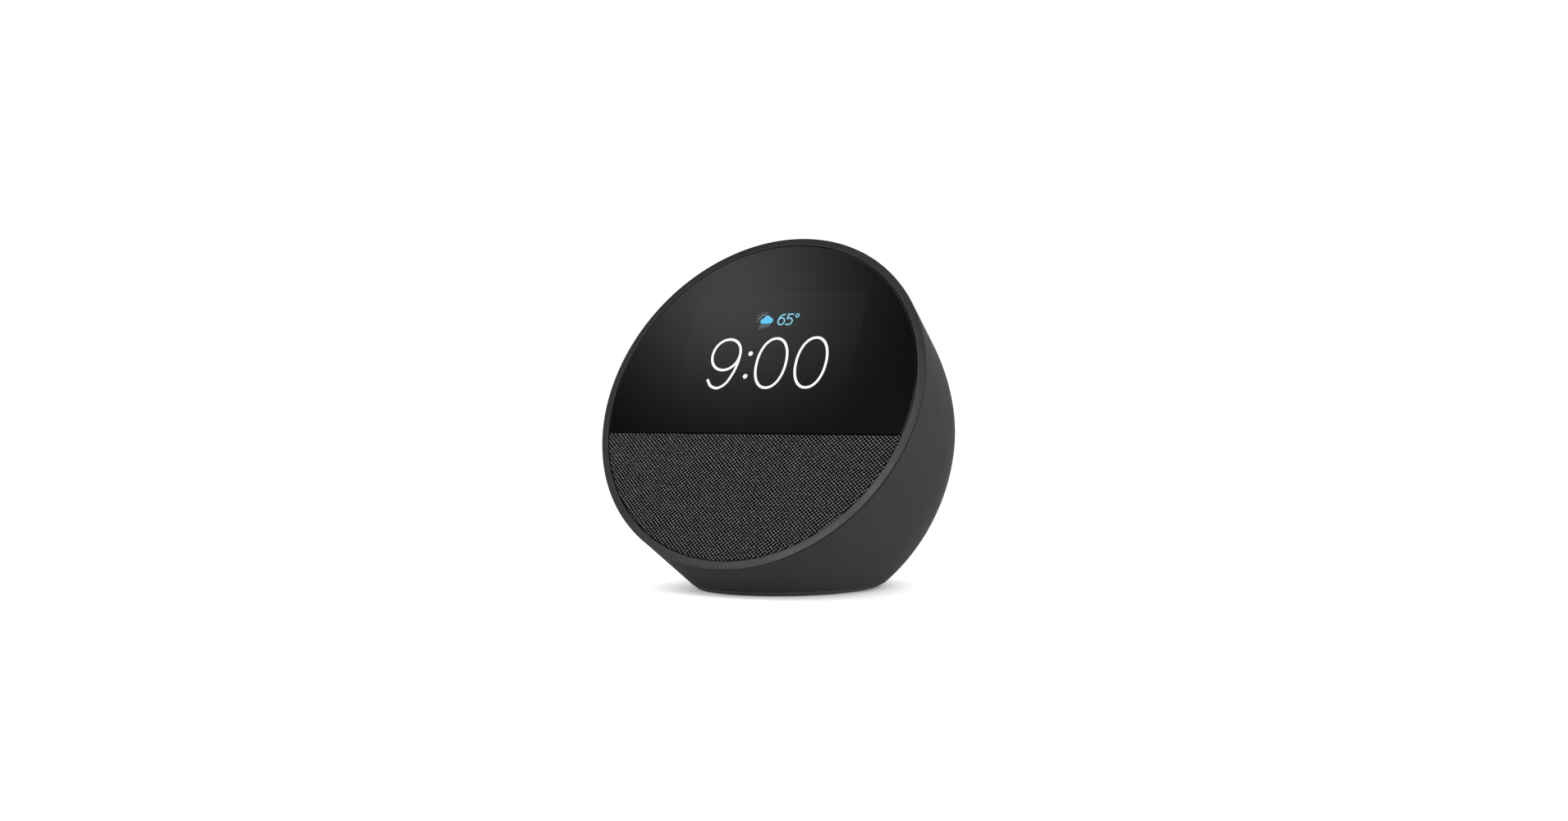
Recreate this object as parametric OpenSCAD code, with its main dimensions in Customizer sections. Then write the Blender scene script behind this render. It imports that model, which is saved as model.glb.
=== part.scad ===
// Round-faced smart display: an egg-shaped shell with a tilted round front and a small flat foot.
// +Z is up and the front looks towards -Y.
// The origin is on the table, under the widest part of the body.
// Front pieces are drawn in the face's own frame: x to the right, y up along the face, z out of it.

/* [Front] */
// Radius of the round front, to the outside of the rim ring
face_r = 56.5; // [56.3:0.1:56.7]
// Radius of the opening that the glass and the grille fill
opening_r = 54.04; // [53.9:0.01:54.1]
// How far the front leans back from upright, in degrees
face_tilt = 25; // [24.5:0.1:25.5]
// Y of the front's centre
face_y = -20.2; // [-20.6:0.1:-19.8]
// Height of the front's centre
face_z = 60.2; // [60:0.1:60.6]
// Height on the face of the straight line between glass and grille
split_v = -12.25; // [-12.3:0.01:-12.2]
// Thickness of the cover glass
glass_t = 1.8; // [1.5:0.1:1.8]
// Thickness of the grille's fabric
fabric_t = 0.8; // [0.6:0.1:0.9]

/* [Body] */
// Half the width of the body's egg shape
body_half_x = 52.5; // [52.3:0.1:53]
// Half the depth of the body's egg shape
body_half_y = 58.9; // [58.7:0.1:59.3]
// Half the height of the body's egg shape
body_half_z = 60.07; // [60:0.01:60.3]
// Height of the widest part of the body
body_mid_z = 49.03; // [49:0.01:49.2]
// Power of the egg shape's cross-sections, where 2 is an ellipse
body_power = 1.9; // [1.88:0.01:1.95]
// Radius of the round patch at the front of the base
base_r = 25.6; // [25.4:0.1:25.8]
// Y of that patch's centre
base_y = -6.83; // [-6.9:0.01:-6.8]
// Wall thickness of the shell
wall = 2.4; // [2.2:0.1:2.6]
// Height of the rubber foot
foot_h = 1.4; // [1.2:0.1:1.5]

/* [Display] */
// Width of the display module
display_w = 64.6; // [60:0.1:64.6]
// Height on the face of the display module's lower edge
display_bottom = -11.2; // [-11.2:0.1:-10]
// Height on the face of the display module's upper edge
display_top = 38; // [36:0.1:38]

/* [Speaker] */
// Height on the face of the speaker's axis
speaker_v = -31.4; // [-31.5:0.1:-31.2]
// Outer radius of the speaker's basket
basket_r = 19.2; // [19:0.1:19.2]
// Outer radius of the speaker's magnet
magnet_r = 14; // [12:0.5:14]
// How far the cone moves each way
cone_travel = 1; // [0.5:0.1:1]

/* [Controls] */
// Radius of a button's cap
cap_r = 4.5; // [4:0.1:4.6]
// How far a cap stands out of the shell
cap_rise = 0.35; // [0.2:0.05:0.5]
// Travel of a button
button_travel = 0.6; // [0.4:0.1:0.6]
// Angle between neighbouring buttons, seen along the face's axis
button_pitch = 15.3; // [14.5:0.1:16]
// Distance of the row of buttons behind the face
button_back = 13.25; // [13:0.05:13.5]
// Angle from the middle to each microphone
microphone_angle = 28; // [27.5:0.1:28.5]

/* [Power inlet] */
// Height of the inlet's axis
inlet_z = 16; // [15.9:0.1:16.2]
// Radius of the round recess that takes the plug's body
inlet_r = 5.2; // [5:0.1:5.3]
// Length of the recess
inlet_length = 6; // [5.5:0.1:6]

/* [Hidden] */

// Colours
SHELL_GREY = [0.17, 0.17, 0.175];
RIM_GREY = [0.2, 0.2, 0.205];
GLASS_BLACK = [0.05, 0.05, 0.055];
FABRIC_GREY = [0.22, 0.22, 0.22];
PLASTIC_BLACK = [0.1, 0.1, 0.1];
BOARD_GREEN = [0.05, 0.25, 0.12];
STEEL = [0.7, 0.7, 0.72];
ALUMINIUM = [0.8, 0.8, 0.82];
BRASS = [0.75, 0.6, 0.25];
COPPER = [0.72, 0.45, 0.2];
RUBBER = [0.13, 0.13, 0.13];
PAPER = [0.15, 0.14, 0.13];
AMBER = [0.55, 0.35, 0.1];
PAD_BLUE = [0.5, 0.5, 0.65];
CREAM = [0.85, 0.83, 0.77];
FERRITE = [0.25, 0.25, 0.27];
LEAD_RED = [0.6, 0.1, 0.1];
PARTS_BLUE = [0.2, 0.25, 0.4];

// Roundness
FINE = 160;
MEDIUM = 64;
SMALL = 32;
STEP_OUTSIDE = 5;
STEP_INSIDE = 7.5;
RIM_POINTS = 120;
BASE_POINTS = 60;

// Everything is inside a cube of this size
BIG = 200;
// A cut runs this far past the face that it opens
OVER = 1;
// Space between pieces that lie beside each other
GAP = 0.1;

// Front: depths behind the face, each counted from the face's front
RIM_PLATE_T = 0.7;
RIM_CHAMFER = 0.22;
RIM_SLOPE = 0.34;
RIM_EDGE_CHAMFER = 0.12;
SHELL_FRONT = 0.8;
RIM_FLANGE_R = 55;
LEDGE_DEPTH = 4.6;
LEDGE_BACK = 6.6;
LEDGE_R = 51;
THROAT_R = 50.82;
THROAT_BACK = LEDGE_BACK + 0.5;
INSERT_R = opening_r - 0.24;
GLASS_CHAMFER = 0.2;
FABRIC_SINK = 0.1;
GRILLE_FRONT = FABRIC_SINK + fabric_t;
CHASSIS_FRONT = 2.3;
CHASSIS_BACK = LEDGE_DEPTH;
GRILLE_HOLE_R = 1.2;
GRILLE_PITCH = 3.4;
GRILLE_HOLES_R = 16;

// Front chassis and its screws
CHASSIS_SCREW_R = 48.5;
CHASSIS_SCREW_ANGLES = [20, 160, 215, 325];
BOSS_R = 3.2;
BOSS_DEPTH = 10.2;
BOSS_RIB_R = 52.5;
BOSS_RIB_T = 2;
POST_R = 2.6;
CHASSIS_SHANK = 5.5;
BOARD_SHANK = 5.5;
SPEAKER_WINDOW_INSET = 2.2;

// Display stack, from the glass backwards
PANEL_BACK = 4;
BACKLIGHT_BACK = 6.2;
BRACKET_BACK = 6.8;
BRACKET_WALL = 0.5;
BRACKET_FRONT = 3.2;
WINDOW_MARGIN = 0.8;
FLEX_T = 0.15;
FLEX_HALF_W = 6;
FLEX_SLOT = [14, 4];
FLEX_FRONT = PANEL_BACK - 0.4;
FLEX_BACK = BRACKET_BACK + 0.5;
FLEX_RISE = 6;
FLEX_PLUG_H = 1.4;
SPREADER_BACK = 8;
SPREADER = [62, 36];
SPREADER_BOTTOM = -1;

// Main board
BOARD_FRONT = 10.6;
BOARD_T = 1.6;
BOARD_BACK = BOARD_FRONT + BOARD_T;
BOARD_HALF_W = 43;
BOARD_BOTTOM = -9;
BOARD_TOP = 36;
BOARD_ROUND_R = 47.5;
BOARD_HOLES = [[38.2, 20], [-38.2, 20], [38.2, -4], [-38.2, -4]];
BOARD_HOLE_R = 1.3;
CHIP_AT = [-8, 14];
CHIP_SIZE = [12, 12];
CHIP_BACK = BOARD_FRONT - 1.2;
MEMORY_AT = [[10, 9], [10, 21]];
MEMORY_SIZE = [11, 9];
MEMORY_H = 1;
SHIELD_AT = [22, 20];
SHIELD_SIZE = [20, 16];
SHIELD_H = 2.2;

// Connectors on the main board: place, size and height
FLEX_PLUG_SIZE = [14, 4];
POWER_PLUG_AT = [14, -5];
POWER_PLUG_FACE = [7, 5];
POWER_PLUG_H = 4;
SPEAKER_PLUG_AT = [-20, -5];
SPEAKER_PLUG_FACE = [6, 4];
SPEAKER_PLUG_H = 3;
BUTTON_PLUG_AT = [0, 34];
BUTTON_PLUG_FACE = [10, 3];
BUTTON_PLUG_H = 2.5;

// Rows of parts on the main board: first place, spacing, count, size and height
INDUCTORS = [[-30, 22], 7, 3, [5, 5], 2.5];
SMALL_PARTS = [[-32, 12], 3.5, 6, [1.6, 3], 1.2];
CANS = [[-26, 4], 9, 4, 2.5, 4];

// Screws: head radius, head height, shank radius and the pilot hole's radius
BIG_SCREW = [2, 1.4, 1, 1.05];
SMALL_SCREW = [1.8, 0.9, 0.8, 0.85];

// Speaker depths behind the face
FLANGE_FRONT = 5.2;
FLANGE_BACK = 6.4;
BASKET_BACK = 15.8;
TOP_PLATE_BACK = 18;
MAGNET_BACK = 24.5;
YOKE_BACK = 27;
STEEL_R = 12.5;
MAGNET_HOLE_R = 8;
COIL_R = [5.6, 6.1];
POLE_R = 5.3;
GAP_R = 6.5;
TAB_ANGLE = 150;
TAB_R = 23.5;
TAB_W = 6;
TERMINAL_R = 21.5;
TERMINAL_H = 2.6;
TERMINAL_OFF = 1.7;
TERMINAL_SIZE = [2.4, 1];
LEAD_OFF = 1.4;
CONE_BACK = 12.4;
CONE_FRONT = 6.9;
CONE_R = 14;
CONE_LIP = 0.4;
CONE_RIM_H = 0.5;
CONE_FOOT = 0.2;
CONE_T = 0.6;
GASKET_W = 2;

// Basket: width of its rim, radius and thickness of its floor, and its six windows
BASKET_RIM_W = 2.6;
BASKET_NECK_W = 1.4;
BASKET_LIP = 0.4;
BASKET_FLOOR_R = [11.8, 12.8];
BASKET_FLOOR_T = [0.9, 1];
WINDOW_AT = [10, -4, 1.6 - BASKET_BACK];
WINDOW_SIZE = [10, 8, 6];
WINDOW_STEP = 60;

// Surround: the roll's middle radius, its outer and inner radii and the foot on the basket
ROLL_R = 15.6;
ROLL_OUTER = 1.25;
ROLL_INNER = 0.85;
ROLL_LIFT = 0.2;
ROLL_FOOT = [16.45, 16.65, 17.1];
LAP_W = 0.75;
LAP_H = 0.4;

// Spider: start of its first fold, width and count of folds, their height and its thickness
SPIDER_R = 6.4;
SPIDER_FOLD = 0.62;
SPIDER_FOLDS = 8;
SPIDER_RISE = 0.35;
SPIDER_LIFT = [1.1, 1.5];

// Dust cap
DOME_R = 7;
DOME_H = 1.7;
DOME_T = 0.4;
DOME_LIFT = 1.5;

// Controls: distances from the face's axis
BRACKET_R = [47, 48.4];
CIRCUIT_T = 0.3;
CIRCUIT_R = BRACKET_R[1] + CIRCUIT_T;
SWITCH_TOP_R = 50.9;
SWITCH_SIZE = 5.2;
PLUNGER_R = 1.3;
PLUNGER_CLEARANCE = 0.15;
PLUNGER_FOOT_R = 50.4;
PLUNGER_ROOM = 0.2;
CAP_FOOT_R = 52.2;
CAP_FLANGE_T = 1;
CAP_FLANGE_W = 1.1;
CAP_CLEARANCE = 0.2;
CONTROLS_FROM_R = 45;
POCKET_DEPTH = CAP_FOOT_R + CAP_FLANGE_T + 0.4 - CONTROLS_FROM_R;
POCKET_CLEARANCE = 1.5;
ARC_HALF = 33.5;
ARM_FROM = 29.5;
ARC_FRONT = 8.5;
ARC_BACK = 18;
ARM_INSET = 0.2;
FLEX_TAIL_R = 48.5;
FLEX_TAIL_W = 8;
FLEX_TAIL_BACK = ARC_BACK + 0.3;
FLEX_END_W = 7;
BUTTON_ANGLES = [-button_pitch, 0, button_pitch];
MICROPHONE_ANGLES = [-microphone_angle, microphone_angle];
MICROPHONE = [3.5, 2.6, 1];
SEAL_R = 2.2;
SEAL_TOP_R = 53;
SEAL_DEPTH = SEAL_TOP_R + GAP - CONTROLS_FROM_R;
SOUND_HOLE_R = 0.6;

// Bottom
SHELL_BOTTOM = foot_h + 0.15;
FLOOR_Z = foot_h + 3.2;
PLATE_FLANGE_T = 1.6;
PLATE_FLANGE = [25.4, 28.9];
PLATE_PLUG = [19.6, 23.1];
PLATE_CLEARANCE = 0.2;
BASE_SCREWS = [[15.7, 18.2], [-15.7, 18.2], [15.7, -18.2], [-15.7, -18.2]];
BASE_BOSS_R = 2.3;
BASE_BOSS_H = 6;
BASE_SHANK = 5.6;
FOOT_INSET = 0.25;

// Power board and inlet
POWER_Z = 9.2;
POWER_T = 1.2;
POWER_TOP = POWER_Z + POWER_T;
POWER_HALF_W = 12;
POWER_Y = [6, 34];
POWER_SHANK = 6;
CAN_AT = [0, 9.5, POWER_TOP];
CAN_R = 3.5;
CAN_H = 8;
COIL_AT = [-3.5, 15, POWER_TOP];
COIL_SIZE = [7, 7, 3.5];
POWER_HOLES = [[8.5, 9.5], [-8.5, 9.5], [8.5, 16.5], [-8.5, 16.5]];
JACK_FRONT_Y = 38;
JACK_LENGTH = 15;
JACK_HALF_W = 5.2;
JACK_TOP = inlet_z + 5.4;
JACK_BORE_R = 3;
JACK_BORE_LENGTH = 10;
CONTACT_R = 1;
CONTACT_INSET = 0.5;
COLLAR_R = inlet_r + 2;
MOUTH_R = inlet_r + 1.2;
CABLE_R = 1.2;
LEAD_R = 0.6;

// Route of the power cable, from the power board up to the main board
POWER_PLUG = [8, 26, POWER_TOP];
POWER_PLUG_SIZE = [5.4, 5, 4];
CABLE_ROUTE = [
    [8, 28.5, 12.5],
    [8, 30.5, 12.5],
    [8.2, 32.5, 15],
    [8.5, 32.5, 19],
    [9.5, 29, 26],
    [11, 22, 34],
    [12.5, 13, 41],
    [13.5, 5, 45.5],
    face_to_body([14, -5, -BOARD_BACK - 7]),
    face_to_body([14, -5, -BOARD_BACK - 4])
];
// No wire runs along this direction
WIRE_ACROSS = [1, 0.1, 0];

// ---- Frames ----

// Draws its children in the face's frame
module on_face() translate([0, face_y, face_z]) rotate([90 - face_tilt, 0, 0]) children();

// Draws its children with z pointing straight away from the face's axis, in the row of buttons
module at_button(angle) on_face()
    rotate([0, 0, -angle]) translate([0, 0, -button_back]) rotate([-90, 0, 0]) children();

// Draws its children on the speaker's axis, in the face's frame
module at_speaker() on_face() translate([0, speaker_v, 0]) children();

function face_to_body(p) = [
    p.x,
    face_y + p.y * sin(face_tilt) - p.z * cos(face_tilt),
    face_z + p.y * cos(face_tilt) + p.z * sin(face_tilt)
];
function in_front_of_face(p) = (face_y - p.y) * cos(face_tilt) + (p.z - face_z) * sin(face_tilt);

// ---- The body's outer form ----

// The form is the hull of three shapes: the egg's surface behind the face, the rim's circle
// and a round patch on the base
BODY_HALF = [body_half_x, body_half_y, body_half_z];
function raised(x) = pow(abs(x), body_power);
function reach(d) = pow(raised(d.x) + raised(d.y) + raised(d.z), -1 / body_power);
function egg_point(d, inset) =
    let (k = reach(d), half = BODY_HALF - inset * [1, 1, 1])
    [d.x * k * half.x, d.y * k * half.y, body_mid_z + d.z * k * half.z];
function direction(turn, lift) = [cos(lift) * cos(turn), cos(lift) * sin(turn), sin(lift)];
function egg_points(inset, depth, floor_z, step) = [
    for (lift = [step - 90 : step : 90 - step])
        for (turn = [0 : step : 360 - step])
            let (p = egg_point(direction(turn, lift), inset))
            if (p.z >= floor_z && in_front_of_face(p) <= -depth) p
];
function circle_points(r, count) = [
    for (i = [0 : count - 1])
        let (a = i * 360 / count)
        r * [cos(a), sin(a)]
];
function rim_points(r, depth) = [
    for (c = circle_points(r, RIM_POINTS)) face_to_body([c.x, c.y, -depth])
];
function base_points(r, z) = [for (c = circle_points(r, BASE_POINTS)) [c.x, base_y + c.y, z]];

module point_hull(points) hull() polyhedron(points, [[for (i = [0 : len(points) - 1]) i]]);
module body_form(inset, depth, rim_r, floor_z, step) {
    point_hull(concat(
        egg_points(inset, depth, floor_z, step),
        rim_points(rim_r, depth),
        base_points(base_r - inset, floor_z)
    ));
}

// ---- Plain shapes ----

// A cylinder between two depths behind the face
module depth_disc(r, front, back, sides)
    translate([0, 0, -back]) cylinder(r = r, h = back - front, $fn = sides);

// A block between two depths behind the face, centred on a place in it
module depth_block(centre, size, front, back) {
    translate([centre.x - size.x / 2, centre.y - size.y / 2, -back])
        cube([size.x, size.y, back - front]);
}

// Copies its children to each place in a list
module at_each(places) for (place = places) translate(place) children();

// An oval prism with the given half widths, rounder than an ellipse or not by the body's own power
module base_oval(half, from_z, to_z) {
    outline = [
        for (c = circle_points(1, RIM_POINTS))
            let (k = reach([c.x, c.y, 0]))
            [half.x * k * c.x, half.y * k * c.y]
    ];
    translate([0, 0, from_z]) linear_extrude(to_z - from_z) polygon(outline);
}

// A screw that points down from the underside of its head at z = 0
module screw(kind, shank_h) {
    cylinder(r = kind[0], h = kind[1], $fn = SMALL);
    translate([0, 0, -shank_h]) cylinder(r = kind[2], h = shank_h, $fn = SMALL);
}

// A round tube of wire along a list of points
function unit(v) = v / norm(v);
function heading(route, i) = unit(route[min(i + 1, len(route) - 1)] - route[max(i - 1, 0)]);
module wire(route, r, sides) {
    rings = [
        for (i = [0 : len(route) - 1])
            let (d = heading(route, i), side = unit(cross(d, WIRE_ACROSS)), up = cross(side, d))
            for (c = circle_points(r, sides)) route[i] + c.x * side + c.y * up
    ];
    last = (len(route) - 1) * sides;
    skin = [
        for (i = [0 : len(route) - 2]) for (s = [0 : sides - 1])
            let (a = i * sides + s, b = i * sides + (s + 1) % sides)
            for (t = [[a, b, b + sides], [a, b + sides, a + sides]]) t
    ];
    ends = [[for (s = [sides - 1 : -1 : 0]) s], [for (s = [0 : sides - 1]) last + s]];
    polyhedron(rings, concat(skin, ends));
}

// Keeps the part of its children above or below the line between glass and grille
module above_split() intersection() {
    children();
    translate([-BIG / 2, split_v + GAP, -BIG / 2]) cube(BIG);
}
module below_split() intersection() {
    children();
    translate([-BIG / 2, split_v - GAP - BIG, -BIG / 2]) cube(BIG);
}

// ---- Shell, rim and foot ----

module chassis_boss(angle) rotate([0, 0, angle]) {
    translate([CHASSIS_SCREW_R, 0, 0]) depth_disc(BOSS_R, LEDGE_DEPTH, BOSS_DEPTH, SMALL);
    translate([CHASSIS_SCREW_R, -BOSS_RIB_T / 2, -BOSS_DEPTH])
        cube([BOSS_RIB_R - CHASSIS_SCREW_R, BOSS_RIB_T, BOSS_DEPTH - LEDGE_DEPTH]);
}

// The space inside the shell, less the bosses and the inlet's collar that stand in it
module shell_cavity() difference() {
    body_form(wall, LEDGE_BACK, LEDGE_R, FLOOR_Z, STEP_INSIDE);
    on_face() for (angle = CHASSIS_SCREW_ANGLES) chassis_boss(angle);
    at_each(BASE_SCREWS) cylinder(r = BASE_BOSS_R, h = FLOOR_Z + BASE_BOSS_H, $fn = SMALL);
    translate([0, JACK_FRONT_Y, inlet_z]) rotate([-90, 0, 0])
        cylinder(r = COLLAR_R, h = BIG, $fn = MEDIUM);
}

module front_opening() on_face() {
    depth_disc(RIM_FLANGE_R + GAP, -OVER, LEDGE_DEPTH, FINE);
    difference() {
        depth_disc(THROAT_R, 0, THROAT_BACK, FINE);
        for (angle = CHASSIS_SCREW_ANGLES) chassis_boss(angle);
    }
}

module inlet_opening() translate([0, 0, inlet_z]) rotate([-90, 0, 0]) {
    cylinder(r = inlet_r, h = BIG / 2, $fn = MEDIUM);
    translate([0, 0, JACK_FRONT_Y + inlet_length]) cylinder(r = MOUTH_R, h = BIG / 2, $fn = MEDIUM);
}

module bottom_opening() {
    base_oval(PLATE_FLANGE + PLATE_CLEARANCE * [1, 1], -OVER, foot_h + PLATE_FLANGE_T);
    base_oval(PLATE_PLUG + PLATE_CLEARANCE * [1, 1], 0, FLOOR_Z + OVER);
    at_each(BASE_SCREWS)
        cylinder(r = SMALL_SCREW[3], h = FLOOR_Z + BASE_BOSS_H - OVER, $fn = SMALL);
}

module control_openings() {
    for (angle = BUTTON_ANGLES) at_button(angle) translate([0, 0, CONTROLS_FROM_R]) {
        cylinder(r = cap_r + CAP_CLEARANCE, h = BIG / 8, $fn = MEDIUM);
        cylinder(r = cap_r + POCKET_CLEARANCE, h = POCKET_DEPTH, $fn = MEDIUM);
    }
    for (angle = MICROPHONE_ANGLES) at_button(angle) translate([0, 0, CONTROLS_FROM_R]) {
        cylinder(r = SOUND_HOLE_R, h = BIG / 8, $fn = SMALL);
        cylinder(r = SEAL_R + CAP_CLEARANCE, h = SEAL_DEPTH, $fn = SMALL);
    }
}

// Copies its children to each screw of the chassis, in the face's frame
module at_chassis_screws() for (angle = CHASSIS_SCREW_ANGLES)
    rotate([0, 0, angle]) translate([CHASSIS_SCREW_R, 0, 0]) children();

module chassis_pilot_holes() on_face() at_chassis_screws()
    depth_disc(BIG_SCREW[3], 0, BOSS_DEPTH - GAP, SMALL);

module rear_shell() color(SHELL_GREY) difference() {
    body_form(0, SHELL_FRONT, face_r, 0, STEP_OUTSIDE);
    shell_cavity();
    front_opening();
    control_openings();
    inlet_opening();
    bottom_opening();
    translate([-BIG / 2, -BIG / 2, SHELL_BOTTOM - BIG]) cube(BIG);
    chassis_pilot_holes();
}

// The ring's front slopes a little backwards towards its outer edge
module rim_ring() color(RIM_GREY) on_face() rotate_extrude($fn = FINE) polygon([
    [opening_r, -LEDGE_DEPTH],
    [RIM_FLANGE_R, -LEDGE_DEPTH],
    [RIM_FLANGE_R, -RIM_PLATE_T],
    [face_r, -RIM_PLATE_T],
    [face_r, -RIM_SLOPE - RIM_EDGE_CHAMFER],
    [face_r - RIM_EDGE_CHAMFER, -RIM_SLOPE],
    [opening_r + RIM_CHAMFER, 0],
    [opening_r, -RIM_CHAMFER]
]);

module base_foot() color(RUBBER) intersection() {
    body_form(FOOT_INSET, SHELL_FRONT, face_r - FOOT_INSET, 0, STEP_OUTSIDE);
    translate([-BIG / 2, -BIG / 2, 0]) cube([BIG, BIG, foot_h]);
}

module base_plate() color(PLASTIC_BLACK) difference() {
    union() {
        base_oval(PLATE_FLANGE, foot_h, foot_h + PLATE_FLANGE_T);
        base_oval(PLATE_PLUG, foot_h, FLOOR_Z);
        translate([0, 0, foot_h + OVER]) at_each(POWER_HOLES)
            cylinder(r = POST_R, h = POWER_Z - foot_h - OVER, $fn = SMALL);
    }
    at_each(BASE_SCREWS) {
        cylinder(r = SMALL_SCREW[0] + GAP, h = foot_h + SMALL_SCREW[1], $fn = SMALL);
        cylinder(r = SMALL_SCREW[2] + GAP, h = FLOOR_Z + OVER, $fn = SMALL);
    }
    translate([0, 0, foot_h + OVER]) at_each(POWER_HOLES)
        cylinder(r = SMALL_SCREW[3], h = POWER_Z, $fn = SMALL);
}

module base_screws() color(STEEL) translate([0, 0, foot_h + SMALL_SCREW[1]])
    at_each(BASE_SCREWS) mirror([0, 0, 1]) screw(SMALL_SCREW, BASE_SHANK);

// ---- Front ----

module cover_glass() color(GLASS_BLACK) on_face() above_split() rotate_extrude($fn = FINE) polygon([
    [0, -glass_t],
    [INSERT_R, -glass_t],
    [INSERT_R, -GLASS_CHAMFER],
    [INSERT_R - GLASS_CHAMFER, 0],
    [0, 0]
]);

DISPLAY_CENTRE = [0, (display_bottom + display_top) / 2];
DISPLAY_SIZE = [display_w, display_top - display_bottom];

// The opening around the display module in the chassis and in the adhesive
module display_window(front, back) {
    depth_block(DISPLAY_CENTRE, DISPLAY_SIZE + 2 * WINDOW_MARGIN * [1, 1], front, back);
}

module glass_adhesive() color(PLASTIC_BLACK) on_face() above_split() difference() {
    depth_disc(INSERT_R - GAP, glass_t, CHASSIS_FRONT, FINE);
    display_window(0, LEDGE_DEPTH);
    translate([0, -OVER, 0]) display_window(0, LEDGE_DEPTH);
}

module grille_fabric() color(FABRIC_GREY) on_face()
    below_split() depth_disc(INSERT_R, FABRIC_SINK, GRILLE_FRONT, FINE);

GRILLE_ROWS = 20;
function hex_places(pitch, r) = [
    for (row = [-GRILLE_ROWS : GRILLE_ROWS]) for (i = [-GRILLE_ROWS : GRILLE_ROWS])
        let (p = [(i + (row % 2 == 0 ? 0 : 0.5)) * pitch, row * pitch * sin(60)])
        if (norm(p) <= r) p
];
module grille_frame() color(PLASTIC_BLACK) on_face() difference() {
    below_split() depth_disc(INSERT_R, GRILLE_FRONT, CHASSIS_FRONT, FINE);
    translate([0, speaker_v, 0]) at_each(hex_places(GRILLE_PITCH, GRILLE_HOLES_R))
        depth_disc(GRILLE_HOLE_R, 0, LEDGE_DEPTH, SMALL);
}

module front_chassis() color(PLASTIC_BLACK) on_face() difference() {
    union() {
        depth_disc(INSERT_R, CHASSIS_FRONT, CHASSIS_BACK, FINE);
        at_each(BOARD_HOLES) depth_disc(POST_R, CHASSIS_FRONT, BOARD_FRONT, SMALL);
    }
    display_window(0, LEDGE_BACK);
    translate([0, speaker_v, 0]) depth_disc(basket_r - SPEAKER_WINDOW_INSET, 0, LEDGE_BACK, FINE);
    at_chassis_screws() {
        depth_disc(BIG_SCREW[0] + GAP, 0, CHASSIS_FRONT + BIG_SCREW[1] + GAP, SMALL);
        depth_disc(BIG_SCREW[2] + GAP, 0, LEDGE_BACK, SMALL);
    }
    at_each(BOARD_HOLES) depth_disc(SMALL_SCREW[3], CHASSIS_BACK, BIG / 2, SMALL);
}

module chassis_screws() color(STEEL) on_face() at_chassis_screws()
    translate([0, 0, -CHASSIS_FRONT - BIG_SCREW[1] - GAP]) screw(BIG_SCREW, CHASSIS_SHANK);

// ---- Display ----

module display_panel() color(GLASS_BLACK) on_face()
    depth_block(DISPLAY_CENTRE, DISPLAY_SIZE, glass_t, PANEL_BACK);

module backlight_unit() color(ALUMINIUM) on_face()
    depth_block(DISPLAY_CENTRE, DISPLAY_SIZE, PANEL_BACK, BACKLIGHT_BACK);

module display_bracket() color(STEEL) on_face() difference() {
    inside = DISPLAY_SIZE + 2 * GAP * [1, 1];
    outside = inside + 2 * BRACKET_WALL * [1, 1];
    depth_block(DISPLAY_CENTRE, outside, BRACKET_FRONT, BRACKET_BACK);
    depth_block(DISPLAY_CENTRE, inside, 0, BACKLIGHT_BACK);
    depth_block([0, display_bottom], FLEX_SLOT, 0, BACKLIGHT_BACK);
}

// The flex folds from the panel's lower edge round the bracket to a connector on the board
module display_flex() {
    edge = display_bottom - GAP - BRACKET_WALL - FLEX_T / 2;
    turn = display_bottom + FLEX_RISE;
    width = 2 * FLEX_HALF_W;
    first = display_bottom - edge;
    color(AMBER) on_face() {
        depth_block([0, edge + first / 2], [width, first], FLEX_FRONT, FLEX_FRONT + FLEX_T);
        depth_block([0, edge], [width, FLEX_T], FLEX_FRONT, FLEX_BACK);
        depth_block([0, (edge + turn) / 2], [width, turn - edge + FLEX_T], FLEX_BACK,
            FLEX_BACK + FLEX_T);
        depth_block([0, turn], [width, FLEX_T], FLEX_BACK, BOARD_FRONT - FLEX_PLUG_H);
    }
}

module heat_spreader() color(ALUMINIUM) on_face()
    depth_block([0, SPREADER_BOTTOM + SPREADER.y / 2], SPREADER, BRACKET_BACK, SPREADER_BACK);

module thermal_pad() color(PAD_BLUE) on_face()
    depth_block(CHIP_AT, CHIP_SIZE, SPREADER_BACK, CHIP_BACK);

// ---- Main board ----

module main_board() color(BOARD_GREEN) on_face() difference() {
    intersection() {
        depth_disc(BOARD_ROUND_R, BOARD_FRONT, BOARD_BACK, FINE);
        translate([-BOARD_HALF_W, BOARD_BOTTOM, -BIG / 2])
            cube([2 * BOARD_HALF_W, BOARD_TOP - BOARD_BOTTOM, BIG]);
    }
    at_each(BOARD_HOLES) depth_disc(BOARD_HOLE_R, 0, BIG / 2, SMALL);
}

module processor() color(PLASTIC_BLACK) on_face()
    depth_block(CHIP_AT, CHIP_SIZE, CHIP_BACK, BOARD_FRONT);

module memory_chips() color(PLASTIC_BLACK) on_face() for (place = MEMORY_AT)
    depth_block(place, MEMORY_SIZE, BOARD_FRONT - MEMORY_H, BOARD_FRONT);

// A block or a can that stands on the back of the board
module on_board(place, size, height) depth_block(place, size, BOARD_BACK, BOARD_BACK + height);
module can_on_board(place, r, height) translate(place)
    depth_disc(r, BOARD_BACK, BOARD_BACK + height, SMALL);

module wireless_shield() color(STEEL) on_face() on_board(SHIELD_AT, SHIELD_SIZE, SHIELD_H);

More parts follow.
